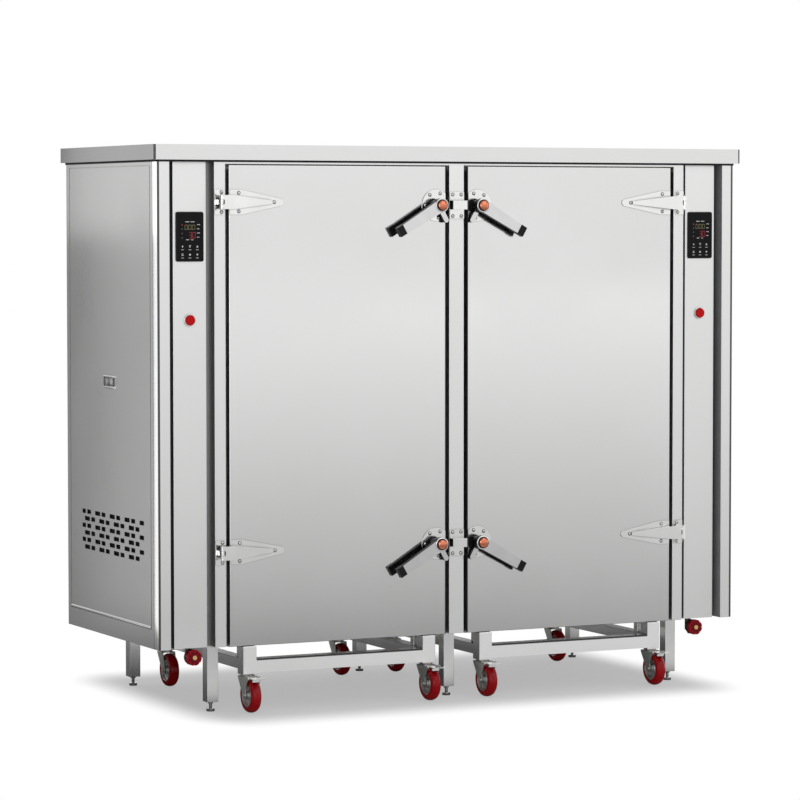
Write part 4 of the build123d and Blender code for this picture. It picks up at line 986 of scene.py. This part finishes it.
def world():
    """A soft studio surround: darker low down, overhead, and behind on the left. The camera
    sees it white."""
    studio = bpy.data.worlds.new("studio")
    scene.world = studio
    studio.use_nodes = True
    tree = studio.node_tree
    back = tree.nodes["Background"]
    coords = tree.nodes.new("ShaderNodeTexCoord")
    split = add_node(tree, "ShaderNodeSeparateXYZ", None, coords.outputs["Generated"])
    height = ranged(tree, split.outputs["Z"], -0.10, 0.06, 0.70, 1.0, True)
    overhead = ranged(tree, split.outputs["Z"], 0.12, 0.45, 1.0, 0.72, True)
    toward = add_node(tree, "ShaderNodeVectorMath", "DOT_PRODUCT",
                      coords.outputs["Generated"], DIM_CORNER)
    shade = ranged(tree, toward.outputs["Value"], 0.35, 0.70, 1.0, 0.16, True)
    upper = maths(tree, "MULTIPLY", height, overhead)
    level = maths(tree, "MULTIPLY", upper, shade)
    path = tree.nodes.new("ShaderNodeLightPath")
    pick = tree.nodes.new("ShaderNodeMix")
    pick.data_type = "FLOAT"
    tree.links.new(path.outputs["Is Camera Ray"], pick.inputs["Factor"])
    tree.links.new(level, pick.inputs["A"])
    pick.inputs["B"].default_value = 1.0
    back.inputs["Color"].default_value = (1, 1, 1, 1)
    tree.links.new(pick.outputs["Result"], back.inputs["Strength"])


world()


def area_light(name, place, target, size, power):
    """A soft rectangular lamp aimed at a point, unseen by the camera."""
    data = bpy.data.lights.new(name, "AREA")
    data.shape = "RECTANGLE"
    data.size, data.size_y = size
    data.energy = power
    obj = bpy.data.objects.new(name, data)
    scene.collection.objects.link(obj)
    obj.location = place
    aim = Vector(target) - Vector(place)
    obj.rotation_euler = aim.to_track_quat("-Z", "Y").to_euler()
    obj.visible_camera = False


# A key lamp over the front, a soft box on each side, and two cards that the left side mirrors
area_light("key_front", (2.2, -5.0, 4.2), (0, 0, 0.9), (3.0, 3.0), 27)
area_light("softbox_left", (-2.8, -4.4, 1.3), (-1.0, -0.3, 0.9), (0.7, 2.6), 20)
area_light("softbox_right", (4.2, -0.2, 1.3), (1.0, -0.3, 0.9), (0.7, 2.6), 16)
area_light("card_left", (-1.972, 1.513, 0.735), (-1.072, 1.113, 0.735), (0.888, 1.47), 3.5)
area_light("card_left_high", (-1.90, 1.50, 1.985), (-1.90, 0.50, 1.985), (0.90, 1.03), 3.2)

# The camera, fitted to the photograph from the body's lower left front corner
CAMERA_OFFSET = (-3.9130661, -9.7160512)
CAMERA_Z = 1.5357099
CAMERA_DOWN = 3.06292517
CAMERA_ROLL = 0.0199
CAMERA_AZIMUTH = -25.9788654
camera_data = bpy.data.cameras.new("camera")
camera = bpy.data.objects.new("camera", camera_data)
scene.collection.objects.link(camera)
camera_data.sensor_width = 36.0
camera_data.lens = 154.34
camera_data.clip_end = 200.0
camera.location = (CAMERA_OFFSET[0] - HALF, CAMERA_OFFSET[1] + FRONT, CAMERA_Z)
camera.rotation_euler = (radians(90 - CAMERA_DOWN), radians(CAMERA_ROLL),
                         radians(CAMERA_AZIMUTH))
scene.camera = camera
scene.view_settings.view_transform = "Standard"
